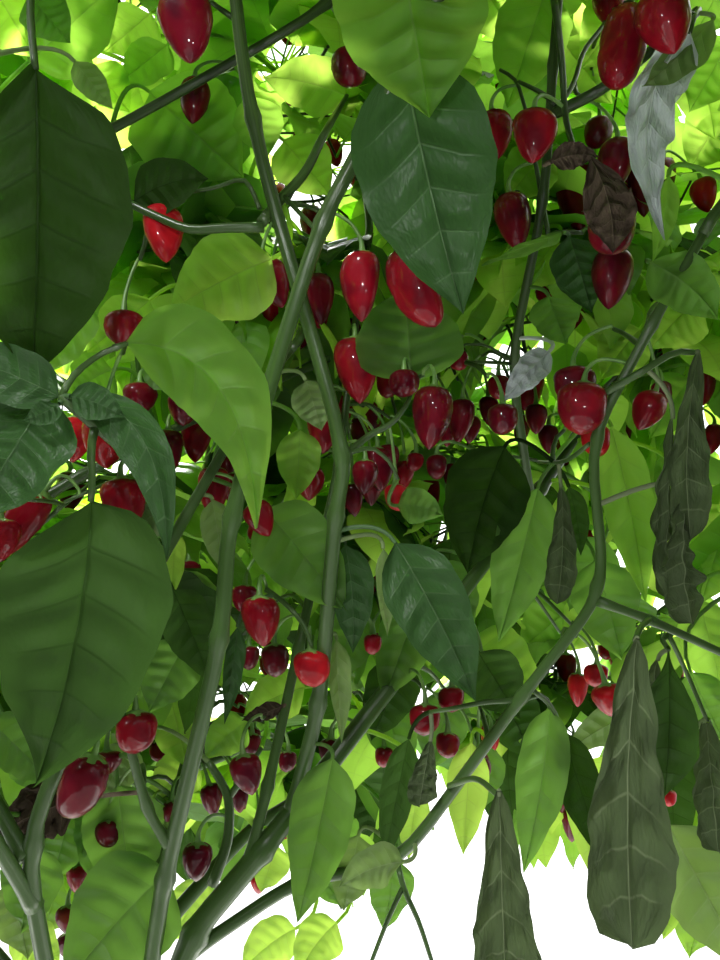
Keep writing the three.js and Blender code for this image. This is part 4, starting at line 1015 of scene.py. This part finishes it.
def from_opening(points):
    """How far points lie beside, ahead of and above the opening, along the hollow's own axis."""
    away = np.atleast_2d(points) - OPENING
    level, lift = math.cos(OPENING_PITCH), math.sin(OPENING_PITCH)
    return away[:, 0], away[:, 1] * level + away[:, 2] * lift, away[:, 2] * level - away[:, 1] * lift


def in_hollow(points):
    """True where any of the points lies in the hollow under the front of the crown."""
    beside, depth, rise = from_opening(points)
    room = np.maximum(depth, 0)
    inside = (depth > -HOLLOW_LIP) & (depth < HOLLOW_DEPTH)
    inside &= np.abs(beside) < room * HOLLOW_SIDE + HOLLOW_LIP
    inside &= np.abs(rise) < room * HOLLOW_RISE + HOLLOW_LIP
    return bool(np.any(inside))


def on_sky_line(points):
    """True where any of the points lies on one of the clear lines through the crown."""
    beside, depth, rise = from_opening(points)
    for sideways, upward, half in SKY_LINES:
        off = np.hypot(beside - sideways * depth, rise - upward * depth)
        if np.any((depth > SKY_LINES_FROM) & (off < half * depth)):
            return True
    return False


def leaf_reach(leaf):
    """Points on a leaf's rib and at both sides of its middle."""
    middle = arc_point(leaf, LEAF_MIDDLE)
    rib = arc_point(leaf, np.array([0.4, 0.6, 0.8, 1.0]))
    ahead, normal = arc_axes(leaf, 0.55)
    side = np.cross(ahead, normal) * 0.24 * leaf["length"]
    return np.concatenate([rib, [middle + side, middle - side]])


def limb_obstacles(routes):
    """Balls that fill the limbs: their centres and radii."""
    centres, radii = [], []
    for path, ends in routes.values():
        points, _ = resampled(path, OBSTACLE_STEP)
        centres.append(points)
        radii.append(np.linspace(ends[0], ends[1], len(points)))
    return np.concatenate(centres), np.concatenate(radii)


def clear_of(obstacles, points, gap):
    centres, radii = obstacles
    points = np.atleast_2d(points)
    apart = np.linalg.norm(points[:, None, :] - centres[None, :, :], axis=2)
    return bool(np.all(apart > radii[None, :] + gap))


# ---- growth of the masses ----------------------------------------------------


def twig_radius(tips):
    return TWIG_TIP * tips ** TWIG_POWER


def halves(points):
    """Points split in two across their widest spread."""
    widest = int(np.argmax(np.var(points, axis=0)))
    ordered = sorted(points, key=lambda p: p[widest])
    cut = math.ceil(len(ordered) / 2)
    return ordered[:cut], ordered[cut:]


class Growth:
    """One mass as it grows by the seeded rule: twigs, leaves and fruit."""

    def __init__(self, index, row, obstacles):
        _, _, centre, radius = row
        self.seed = SEED + index
        self.at = np.array(centre, float)
        self.radius = radius
        self.obstacles = obstacles
        self.twigs, self.leaves, self.fruit = [], [], []
        self.middles = []
        normals, limits = [], []
        for j, other in enumerate(MASSES):
            if j == index:
                continue
            away = np.array(other[2], float) - self.at
            apart = np.linalg.norm(away)
            normals.append(away / apart)
            limits.append(np.dot(away / apart, self.at) + apart * radius / (radius + other[3]) - CELL_MARGIN)
        self.normals, self.limits = np.array(normals), np.array(limits)

    def in_space(self, points, margin, rim=0):
        """True where the points keep to the mass's own cell between its neighbours' cells."""
        points = np.atleast_2d(points)
        away = (points - self.at) / np.array([1, 1, FLATTENING])
        if np.any(np.linalg.norm(away, axis=1) > self.radius + rim - margin):
            return False
        return bool(np.all(points @ self.normals.T <= self.limits - margin))

    def targets(self, count):
        """Tips shared out through the mass on a golden spiral."""
        points = []
        for i in range(count):
            level = 1 - (2 * i + 1) / count
            angle = i * GOLDEN_ANGLE + 2 * math.pi * chance(self.seed, 7)
            ring = math.sqrt(1 - level * level)
            spread = (0.35 + 0.65 * chance(self.seed, 11, i)) ** (1 / 3)
            away = np.array([ring * math.cos(angle), ring * math.sin(angle), level * FLATTENING])
            point = self.at + away * spread * TARGET_SHARE * self.radius
            for _ in range(12):
                if self.in_space(point, TARGET_MARGIN):
                    break
                point = point + 0.15 * (self.at - point)
            points.append(point)
        return points

    def leaf_from(self, root, node, slot):
        away = root - self.at
        outward = math.atan2(away[1], away[0])
        upward = math.atan2(away[2], math.hypot(away[0], away[1]))
        for attempt in range(LEAF_TRIES):
            keys = (self.seed, node, slot, attempt)
            leaf = new_leaf(root, outward + 2.4 * centred(*keys, 1),
                            0.45 * upward + 0.45 * centred(*keys, 2), keys)
            middle = arc_point(leaf, LEAF_MIDDLE)
            if any(np.linalg.norm(other - middle) < LEAF_SPACING for other in self.middles):
                continue
            outer = leaf_reach(leaf)
            if not self.in_space(outer, -4, LEAF_RIM) or in_hollow(outer) or on_sky_line(outer):
                continue
            if not clear_of(self.obstacles, outer, 4):
                continue
            self.middles.append(middle)
            self.leaves.append(leaf)
            return

    def fruit_from(self, root, node):
        if chance(self.seed, node, 31) > FRUIT_SHARE:
            return
        azimuth = 2 * math.pi * chance(self.seed, node, 32)
        scale = 0.62 + 0.45 * chance(self.seed, node, 33)
        low = root + np.array([12 * math.cos(azimuth), 12 * math.sin(azimuth), -45])
        if self.in_space(low, 0) and not in_hollow(low) and clear_of(self.obstacles, low, 10):
            self.fruit.append({"root": root, "azimuth": azimuth, "scale": scale, "key": (self.seed, node)})

    def next_node(self, start, points, node):
        share = 1 if len(points) == 1 else FORK_SHARE
        for attempt in range(TWIG_TRIES):
            to = start + share * (np.mean(points, axis=0) - start)
            wander = JITTER * np.linalg.norm(to - start) * (1 + attempt)
            to = to + wander * np.array([centred(self.seed, node, k, attempt) for k in (21, 22, 23)])
            if not self.in_space(to, 2):
                continue
            between = start + np.linspace(0.25, 1, 5)[:, None] * (to - start)
            if clear_of(self.obstacles, between, 2):
                return to
        return None

    def finish(self, chain, radius, node):
        self.twigs.append((np.array(chain), (radius, TWIG_TIP)))
        for slot in (1, 2, 3):
            self.leaf_from(chain[-1], node, slot)

    def follow(self, chain, radius, points, node):
        """Carry a twig on towards its tips, forking until one is left."""
        start = chain[-1]
        to = self.next_node(start, points, node)
        if to is None:
            if len(chain) > 1:
                self.finish(chain, radius, node)
            return
        chain.append(to)
        self.leaf_from(start + SIDE_LEAF_SHARE * (to - start), node, 0)
        self.leaf_from(to, node, 4)
        self.fruit_from(start + FRUIT_AT * (to - start), node)
        if len(points) == 1:
            self.finish(chain, radius, node)
            return
        onward, aside = halves(points)
        self.follow([to], 0.8 * twig_radius(len(aside)), aside, 2 * node + 1)
        self.follow(chain, radius, onward, 2 * node)


def grow_all(routes, obstacles):
    grown = []
    for index, row in enumerate(MASSES):
        path, ends = routes[row[1]]
        heading = unit(path[-1] - path[-2])
        growth = Growth(index, row, obstacles)
        radius = min(twig_radius(TIPS_PER_MASS), ends[1])
        growth.follow([path[-1] - 2 * heading, path[-1] + STEM_LENGTH * heading], radius,
                      growth.targets(TIPS_PER_MASS), 1)
        grown.append(growth)
    return grown


def limb_leaves(routes, obstacles):
    """Leaves that grow straight from the boughs, behind and beside the hollow."""
    leaves = []
    for index, (path, _) in enumerate(routes.values()):
        points, _ = resampled(path, LIMB_LEAF_STEP)
        for step, root in enumerate(points[1:]):
            if root[2] < LIMB_LEAF_ABOVE or np.linalg.norm(root - OPENING) < LIMB_LEAF_BEYOND:
                continue
            for attempt in range(LEAF_TRIES):
                keys = (LIMB_LEAF_SEED + index, step, 5, attempt)
                leaf = new_leaf(root, 2 * math.pi * chance(*keys, 1), 0.2 + 0.5 * centred(*keys, 2), keys)
                outer = leaf_reach(leaf)
                if not in_hollow(outer) and not on_sky_line(outer) and clear_of(obstacles, outer, 3):
                    leaves.append(leaf)
                    break
    return leaves


# ---- stems -------------------------------------------------------------------


def add_limb(heap, route, radii, index):
    """A ridged limb, swollen at the corners of its route and at its foot."""
    path, along = resampled(smoothed(route, LIMB_CUT), 5.5)
    swell = np.ones(len(path))
    for corner in route[1:-1]:
        nearest = np.argmin(np.linalg.norm(path - corner, axis=1))
        swell += NODE_SWELL * np.exp(-((along - along[nearest]) / NODE_REACH) ** 2)
    radius = LIMB_SLIM * np.interp(along, [0, along[-1]], radii) * swell
    radius = radius * (1 + 0.3 * np.exp(-(along / 10) ** 2))
    add_tube(heap, path, radius, 16, ridge=STEM_RIDGE, turn=index * 1.3, v0=index * 3.7)


def add_trunk(heap):
    """Level rings with a lobed, flared foot, and bark furrows that fade upwards."""
    route = np.array(TRUNK_ROUTE, float)
    top = route[-1, 2]
    heights = np.concatenate([np.linspace(0, 60, 21), np.linspace(64, top, 60)])
    centres = np.stack([np.interp(heights, route[:, 2], route[:, 0]),
                        np.interp(heights, route[:, 2], route[:, 1]), heights], axis=1)
    sides = 44
    angle = round_angles(sides)
    level = heights[:, None]
    foot = np.exp(-level / 24)
    radius = np.interp(level, [0, top], TRUNK_RADII) + 12 * foot
    lobe = 1 + 0.16 * foot * np.cos(5 * angle)
    furrow = 0.035 * np.sin(11 * angle + 0.02 * level) + 0.02 * np.sin(23 * angle - 0.05 * level)
    ring = radius * lobe * (1 + furrow * (1 - 0.5 * level / top))
    points = ring_points(centres, ring, angle, np.array([1.0, 0, 0]), np.array([0, 1.0, 0]))
    points = np.concatenate([points.reshape(-1, 3), [[0, 0, 0], [0, 0, top + 6]]])
    uvs = np.concatenate([ring_uvs(sides, heights * V_PER_MM), [[0, 0], [0, 4]]])
    heap.add(points, uvs, grid_quads(len(heights), sides, True), cap_tris(sides, len(heights)))


# ---- fruit -------------------------------------------------------------------


def add_fruit(body, green, top, axis, width, length, shape, key, stalk, fine):
    """A fruit hung from its top point along an axis, with a flat calyx and a club-shaped stalk."""
    sides, rows = (22, 17) if fine else (10, 9)
    share = (1 - np.cos(np.linspace(0, math.pi, rows))) / 2
    t = share[:, None]
    radius = 0.5 * width * np.interp(t, PROFILE_AT, PROFILES[shape])
    angle = round_angles(sides)
    phase = 2 * math.pi * chance(*key, 61)
    belly = np.sin(math.pi * t)
    lobes = 1 + (0.05 + 0.08 * chance(*key, 64)) * np.cos(3 * angle + phase) * belly
    lobes = lobes + 0.05 * np.cos(angle + 2 * phase + 2.5 * t) * belly
    wrinkle = np.sin(23 * t + 3 * angle + phase) + np.sin(15 * t - 5 * angle)
    ring = radius * (lobes + (0.024 if shape == "long" else 0.012) * wrinkle * belly)
    axis = unit(np.asarray(axis, float))
    side = unit(np.cross(axis, [0.3, 1, 0.2]))
    up = np.cross(axis, side)
    bow = 0.1 * length * centred(*key, 62) * t ** 2
    points = ring_points(top + axis * (t * length) + side * bow, ring, angle, side, up)
    body.add(points, ring_uvs(sides, share), grid_quads(rows, sides, True)[:, ::-1])
    add_calyx(green, top, axis, side, up, 0.5 * width, key, 20 if fine else 10)
    path, along = resampled(smoothed(stalk, STALK_CUT), 3.0 if fine else 6.0)
    add_tube(green, path, 0.9 + 1.1 * np.exp(-along / 5.0), 7 if fine else 4, caps=False)


def add_calyx(heap, top, axis, side, up, radius, key, sides):
    """A flat five-toothed cap that sits on the fruit's shoulder."""
    angle = round_angles(sides)
    teeth = 1 + 0.16 * np.cos(5 * angle + 6 * chance(*key, 63))
    points = []
    for reach, down in CALYX_RINGS:
        edge = reach * (teeth if reach > 0.5 else 1)
        points.append(top + axis * down * radius * 1.2
                      + (edge * radius * np.cos(angle))[:, None] * side
                      + (edge * radius * np.sin(angle))[:, None] * up)
    points = np.concatenate(points)
    heap.add(points, np.zeros((len(points), 2)), grid_quads(len(CALYX_RINGS), sides, True)[:, ::-1])


def add_hero_fruit(bodies, green, twigs, row, index, anchors):
    """One of the fruits round the hollow; a thin twig behind it carries its stalk."""
    shape, tone, top, tip, width = row
    top, tip = np.array(top, float), np.array(tip, float)
    axis = unit(tip - top)
    rise = top - axis * 7
    away = anchors - rise
    gap = np.linalg.norm(away, axis=1)
    foot = anchors[np.argmin(gap + 0.6 * np.maximum(0, 8 - away[:, 2]))]
    gap = np.linalg.norm(foot - rise)
    if gap > STALK_REACH:
        knee = rise + 26 * unit(unit(foot - rise) + np.array([0, 0.5, 0.7]))
        bow = 0.5 * (knee + foot) + np.array([0, 8, 4 + 0.1 * gap])
        foot = add_twig(twigs, np.array([foot, bow, knee + (0, 0, -2)]), (1.7, 1.1), 6, 8, STALK_CUT)[-1]
    crown = rise + 0.35 * (foot - rise) + np.array([0, 0, 7])
    add_fruit(bodies[tone], green, top, axis, width, np.linalg.norm(tip - top), shape, (index, 7),
              np.array([top, rise, crown, foot + np.array([0, 0, 3.0]), foot]), True)


def pick_from(shares, pick):
    return next(name for name, limit in shares if pick <= limit)


def add_grown_fruit(bodies, green, fruit):
    """One small fruit of a mass."""
    key, root, scale = fruit["key"], fruit["root"], fruit["scale"]
    out = np.array([math.cos(fruit["azimuth"]), math.sin(fruit["azimuth"]), 0])
    top = root + out * 11 + np.array([0, 0, -17 * scale])
    axis = np.array([0.3 * centred(*key, 71), 0.3 * centred(*key, 72), -1])
    stalk = np.array([top, top - unit(axis) * 8, root + out * 7 + np.array([0, 0, 2.0]), root])
    shape = pick_from(FRUIT_SHAPE_SHARES, chance(*key, 73))
    length, width = (scale * size for size in FRUIT_SIZES[shape])
    body = bodies[pick_from(FRUIT_TONE_SHARES, chance(*key, 74))]
    add_fruit(body, green, top, axis, width, length, shape, key, stalk, False)


# ---- materials ---------------------------------------------------------------


class Shader:
    """Short ways to add nodes to a node tree."""

    def __init__(self, tree):
        self.tree = tree

    def node(self, kind):
        return self.tree.nodes.new("ShaderNode" + kind)

    def set(self, socket, value):
        """Give a socket a number, a colour or another node's output."""
        if isinstance(value, (int, float)):
            socket.default_value = value
        elif isinstance(value, tuple):
            socket.default_value = (*value, 1)
        else:
            self.tree.links.new(value, socket)

    def math(self, operation, a, b=None, clamp=False):
        node = self.node("Math")
        node.operation = operation
        node.use_clamp = clamp
        self.set(node.inputs[0], a)
        if b is not None:
            self.set(node.inputs[1], b)
        return node.outputs[0]

    def add(self, a, b, clamp=False):
        return self.math("ADD", a, b, clamp)

    def subtract(self, a, b, clamp=False):
        return self.math("SUBTRACT", a, b, clamp)

    def times(self, a, b):
        return self.math("MULTIPLY", a, b)

    def mix(self, factor, a, b):
        node = self.node("Mix")
        node.data_type = "RGBA"
        for socket, value in ((0, factor), (6, a), (7, b)):
            self.set(node.inputs[socket], value)
        return node.outputs[2]

    def ramp(self, value, low, high):
        """A smooth step from 0 at low to 1 at high."""
        node = self.node("MapRange")
        node.interpolation_type = "SMOOTHSTEP"
        for socket, amount in (("Value", value), ("From Min", low), ("From Max", high)):
            self.set(node.inputs[socket], amount)
        return node.outputs["Result"]

    def split(self, vector):
        node = self.node("SeparateXYZ")
        self.set(node.inputs[0], vector)
        return node.outputs

    def surface(self, uv_name):
        uv = self.node("UVMap")
        uv.uv_map = uv_name
        return uv.outputs["UV"]

    def place(self):
        return self.node("TexCoord").outputs["Object"]

    def noise(self, vector, scale, detail, stretch=None):
        if stretch is not None:
            mapping = self.node("Mapping")
            mapping.inputs["Scale"].default_value = stretch
            self.set(mapping.inputs["Vector"], vector)
            vector = mapping.outputs["Vector"]
        node = self.node("TexNoise")
        for socket, value in (("Vector", vector), ("Scale", scale), ("Detail", detail)):
            self.set(node.inputs[socket], value)
        return node.outputs["Fac"]

    def skin(self, colour, **values):
        """A Principled shader; a socket's name is written with _ for its spaces."""
        bsdf = self.node("BsdfPrincipled")
        self.set(bsdf.inputs["Base Color"], colour)
        for name, value in values.items():
            self.set(bsdf.inputs[name.replace("_", " ")], value)
        return bsdf

    def relief(self, bsdf, height, strength, distance):
        bump = self.node("Bump")
        for socket, value in (("Height", height), ("Strength", strength), ("Distance", distance)):
            self.set(bump.inputs[socket], value)
        self.set(bsdf.inputs["Normal"], bump.outputs["Normal"])


def new_material(name):
    material = bpy.data.materials.new(name)
    material.use_nodes = True
    material.node_tree.nodes.clear()
    return material, Shader(material.node_tree)


def finished(material, shader, surface):
    shader.set(shader.node("OutputMaterial").inputs["Surface"], surface)
    return material


def scaled(colour, factor):
    return tuple(min(factor * c, 1) for c in colour)


def leaf_material(name, colour, vein_colour, through, share, roughness, blotch, wrinkled=0.4):
    """Leaf: quilted blade with veins that follow its surface coordinates, lit through from behind."""
    material, shader = new_material(name)
    uv = shader.surface("OFBake")
    u, v, _ = shader.split(uv)
    across = shader.math("ABSOLUTE", shader.subtract(u, 0.5))
    rib = shader.subtract(1.0, shader.ramp(across, 0.004, 0.014))
    phase = shader.math("FRACT", shader.times(shader.subtract(v, BLADE_V0), VEIN_PAIRS / BLADE_V))
    gap = shader.math("MINIMUM", phase, shader.subtract(1.0, phase))
    fade = shader.subtract(1.0, shader.ramp(across, 0.2, 0.46))
    side_vein = shader.times(shader.subtract(1.0, shader.ramp(gap, 0.008, 0.055)), fade)
    vein = shader.math("MAXIMUM", shader.times(rib, 0.85), shader.times(side_vein, 0.5))
    patch = shader.noise(uv, 5.0, 3.0)
    shade = shader.times(shader.subtract(patch, 0.5), blotch)
    base = shader.mix(shader.add(0.5, shade, clamp=True), scaled(colour, 0.62), scaled(colour, 1.3))
    bsdf = shader.skin(shader.mix(vein, base, vein_colour), Roughness=roughness,
                       Specular_IOR_Level=0.06 if roughness > 0.55 else 0.18)
    dome = shader.times(shader.ramp(gap, 0.0, 0.5), fade)
    height = shader.add(dome, shader.times(patch, 0.8))
    height = shader.subtract(height, shader.times(vein, 0.5))
    if share < 0.4:
        height = shader.add(height, shader.times(shader.noise(uv, 26.0, 1.0), wrinkled))
    shader.relief(bsdf, height, 0.6, 0.002)
    dimmer = shader.math("MAXIMUM", shader.times(vein, 0.55), shader.subtract(0.45, patch, clamp=True))
    lit = shader.node("BsdfTranslucent")
    shader.set(lit.inputs["Color"], shader.mix(dimmer, through, scaled(through, 0.55)))
    both = shader.node("MixShader")
    for socket, value in enumerate((share, bsdf.outputs["BSDF"], lit.outputs["BSDF"])):
        shader.set(both.inputs[socket], value)
    return finished(material, shader, both.outputs["Shader"])


def stem_material(name, green, pale, dark, woody):
    """Green stem with long pale and dark stripes, painted lighter low down for the front light, browner and
    rougher towards the foot.
    """
    material, shader = new_material(name)
    uv = shader.surface("along")
    stripes = shader.noise(uv, 1.0, 2.0, stretch=(2.2, 0.5, 1.0))
    fine = shader.noise(uv, 1.0, 3.0, stretch=(16.0, 1.2, 1.0))
    colour = shader.mix(shader.ramp(stripes, 0.35, 0.7), green, pale)
    colour = shader.mix(shader.times(shader.ramp(fine, 0.46, 0.72), 0.8), colour, dark)
    place = shader.place()
    height = shader.split(place)["Z"]
    # painted light: below about 0.6 m the green is painted much lighter, for the light from the open front
    # on the low stems
    painted_low_light = shader.subtract(0.75, shader.ramp(height, 0.6, 0.95), clamp=True)
    colour = shader.mix(painted_low_light, colour, scaled(green, 2.7))
    low = shader.subtract(1.0, shader.ramp(height, 0.12, 0.46))
    crust = shader.noise(place, 160.0, 4.0, stretch=(1.0, 1.0, 0.3))
    bark = shader.mix(shader.ramp(crust, 0.35, 0.65), woody, scaled(woody, 1.9))
    bsdf = shader.skin(shader.mix(low, colour, bark), Specular_IOR_Level=0.34,
                       Roughness=shader.add(0.28, shader.times(low, 0.42)))
    shader.relief(bsdf, shader.add(fine, shader.times(crust, low)), 0.4, 0.0006)
    return finished(material, shader, bsdf.outputs["BSDF"])


def fruit_material(name, colour, deep):
    """Glossy fruit skin with faint, deeper blotches."""
    material, shader = new_material(name)
    place = shader.place()
    tint = shader.mix(shader.ramp(shader.noise(place, 70.0, 2.0), 0.38, 0.66), colour, deep)
    bsdf = shader.skin(tint, Roughness=0.4, Specular_IOR_Level=0.06, Coat_Weight=0.36, Coat_Roughness=0.04)
    shader.relief(bsdf, shader.noise(place, 220.0, 1.0), 0.45, 0.001)
    return finished(material, shader, bsdf.outputs["BSDF"])


def mottled_material(name, colour, other, scale, roughness):
    """Two close tones of one colour, in soft patches."""
    material, shader = new_material(name)
    patch = shader.ramp(shader.noise(shader.place(), scale, 3.0), 0.35, 0.65)
    bsdf = shader.skin(shader.mix(patch, colour, other), Roughness=roughness)
    return finished(material, shader, bsdf.outputs["BSDF"])


# ---- the plant ---------------------------------------------------------------


def leaf_kind(leaf):
    """Painted light and shade: brighter kinds high in the crown, darker ones low down and on the far side.
    """
    high = min(max((leaf["root"][2] - 780) / 320, -1), 1)
    far = min(max((np.linalg.norm(leaf["root"] - OPENING) - 760) / 240, 0), 1)
    return pick_from(LEAF_SHARES, min(max(chance(*leaf["key"], 81) - 0.2 * high + 0.1 * far, 0), 1))


def add_object(name, data):
    thing = bpy.data.objects.new(name, data)
    bpy.context.scene.collection.objects.link(thing)
    return thing


def place_piece(heap, name, material, uv_name="OFBake"):
    mesh = heap.mesh(name, uv_name)
    mesh.materials.append(material)
    piece = add_object(name, mesh)
    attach(piece, "root")
    return piece


def build_plant():
    routes = limb_routes()
    obstacles = limb_obstacles(routes)
    stems, twigs, greens = Heap(), Heap(), Heap()
    fruits = {tone: Heap() for tone in FRUIT_TONES}
    leaves = {kind: Heap() for kind in LEAF_KINDS}
    add_trunk(stems)
    for index, (name, (route, radii)) in enumerate(routes.items()):
        if name != "trunk":
            add_limb(stems, route, radii, index)
    anchors = [resampled(smoothed(route, LIMB_CUT), 6)[0] for route, _ in routes.values()]
    for growth in grow_all(routes, obstacles):
        anchors += [add_twig(twigs, path, ends, 6, 9) for path, ends in growth.twigs]
        for leaf in growth.leaves:
            add_grown_leaf(leaves[leaf_kind(leaf)], leaf)
        for fruit in growth.fruit:
            add_grown_fruit(fruits, greens, fruit)
    for leaf in limb_leaves(routes, obstacles):
        add_grown_leaf(leaves[leaf_kind(leaf)], leaf)
    anchors += [add_twig(twigs, np.array(points, float), (start, end), 9, 6)
                for points, start, end in HERO_TWIGS]
    anchors = np.concatenate(anchors)
    for index, row in enumerate(HERO_LEAVES):
        add_hero_leaf(leaves[row[0]], row, index, anchors)
    for index, row in enumerate(HERO_FRUIT):
        add_hero_fruit(fruits, greens, twigs, row, index, anchors)

    stem_look = stem_material("stem_skin", *STEM_COLOURS)
    bark = place_piece(stems, "stems", stem_look, "along")
    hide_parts("trunk", *["limb_" + name for name in routes if name != "trunk"])
    place_piece(twigs, "twigs", stem_look, "along")
    place_piece(greens, "calyces", mottled_material("calyx_skin", *CALYX_COLOURS, 90, 0.42))
    for tone, heap in fruits.items():
        place_piece(heap, "fruit_" + tone, fruit_material("fruit_skin_" + tone, *FRUIT_TONES[tone]))
    for kind, heap in leaves.items():
        look = leaf_material("leaf_" + kind, *LEAF_KINDS[kind])
        place_piece(heap, "leaves_" + kind, look)
    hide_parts(*["foliage_" + row[0] for row in MASSES])


# ---- room, light and camera --------------------------------------------------


def add_stage():
    """A pale round floor just wide enough for the plant's shadow."""
    mesh = bpy.data.meshes.new("floor")
    rim = [(FLOOR_RADIUS * math.cos(a), FLOOR_RADIUS * math.sin(a), 0) for a in round_angles(96)]
    mesh.from_pydata(rim, [], [list(range(96))])
    mesh.materials.append(mottled_material("floor_paint", (0.61, 0.61, 0.59), (0.63, 0.63, 0.61), 3, 0.9))
    add_object("floor", mesh)


def add_world():
    """White room; it gives most of its light from above and from behind the plant."""
    world = bpy.data.worlds.new("room")
    bpy.context.scene.world = world
    world.use_nodes = True
    shader = Shader(world.node_tree)
    toward = shader.node("VectorMath")
    toward.operation = "DOT_PRODUCT"
    shader.set(toward.inputs[0], shader.node("TexCoord").outputs["Generated"])
    toward.inputs[1].default_value = BRIGHT_SIDE
    high = shader.ramp(toward.outputs["Value"], -0.5, 0.9)
    strength = shader.add(ROOM_DIM, shader.times(high, ROOM_BRIGHT))
    seen = shader.node("LightPath").outputs["Is Camera Ray"]
    background = world.node_tree.nodes["Background"]
    shader.set(background.inputs["Color"], (1.0, 1.0, 1.0))
    shader.set(background.inputs["Strength"], shader.math("MAXIMUM", strength, seen))


def add_lamp(name, kind, power, heading, at=(0, 0, 0)):
    """A lamp at a place that looks along a heading."""
    light = bpy.data.lights.new(name, kind)
    light.energy = power
    lamp = add_object(name, light)
    lamp.location = at
    lamp.rotation_euler = Vector(heading).to_track_quat("-Z", "Y").to_euler()
    return lamp


def add_high_light():
    light = add_lamp("high_light", "SUN", 15.0, (0.15, -0.75, -1.0)).data
    light.angle = math.radians(6)
    light.color = (1, 0.99, 0.95)


def add_window():
    """A small soft light at the open front, for the small bright highlights on fruit and stems."""
    light = add_lamp("window", "AREA", 34, (0.95, 1.9, -1.1), (-0.9, -2.1, 1.9)).data
    light.shape = "RECTANGLE"
    light.size, light.size_y = 0.26, 0.2


def add_gleam(name, beside, ahead, above, power):
    """A small lamp in the mouth of the hollow, for the sharp glints on fruit and stems."""
    level, lift = math.cos(OPENING_PITCH), math.sin(OPENING_PITCH)
    at = OPENING * MM + np.array([beside, ahead * level - above * lift, ahead * lift + above * level])
    lamp = add_lamp(name, "AREA", power, (-0.5 * beside, level, lift), at)
    lamp.data.shape = "DISK"
    lamp.data.size = 0.014
    lamp.visible_camera = False


def add_camera():
    """The photograph's own viewpoint, in the opening of the hollow."""
    camera = bpy.data.cameras.new("camera")
    camera.sensor_width = SENSOR_MM
    camera.lens = PHOTO_FOCAL_PX / PHOTO_HEIGHT_PX * SENSOR_MM
    camera.clip_start = 0.01
    seen_from = add_object("camera", camera)
    seen_from.location = OPENING * MM
    seen_from.rotation_euler = (math.radians(90) + OPENING_PITCH, 0, 0)
    bpy.context.scene.camera = seen_from


build_plant()
add_stage()
add_world()
add_high_light()
add_window()
add_gleam("gleam_high", -0.06, 0.15, 0.105, 0.17)
add_gleam("gleam_side", 0.07, 0.12, 0.04, 0.09)
add_camera()
bpy.context.scene.view_settings.view_transform = "Standard"
bpy.context.scene.view_settings.exposure = 0.3
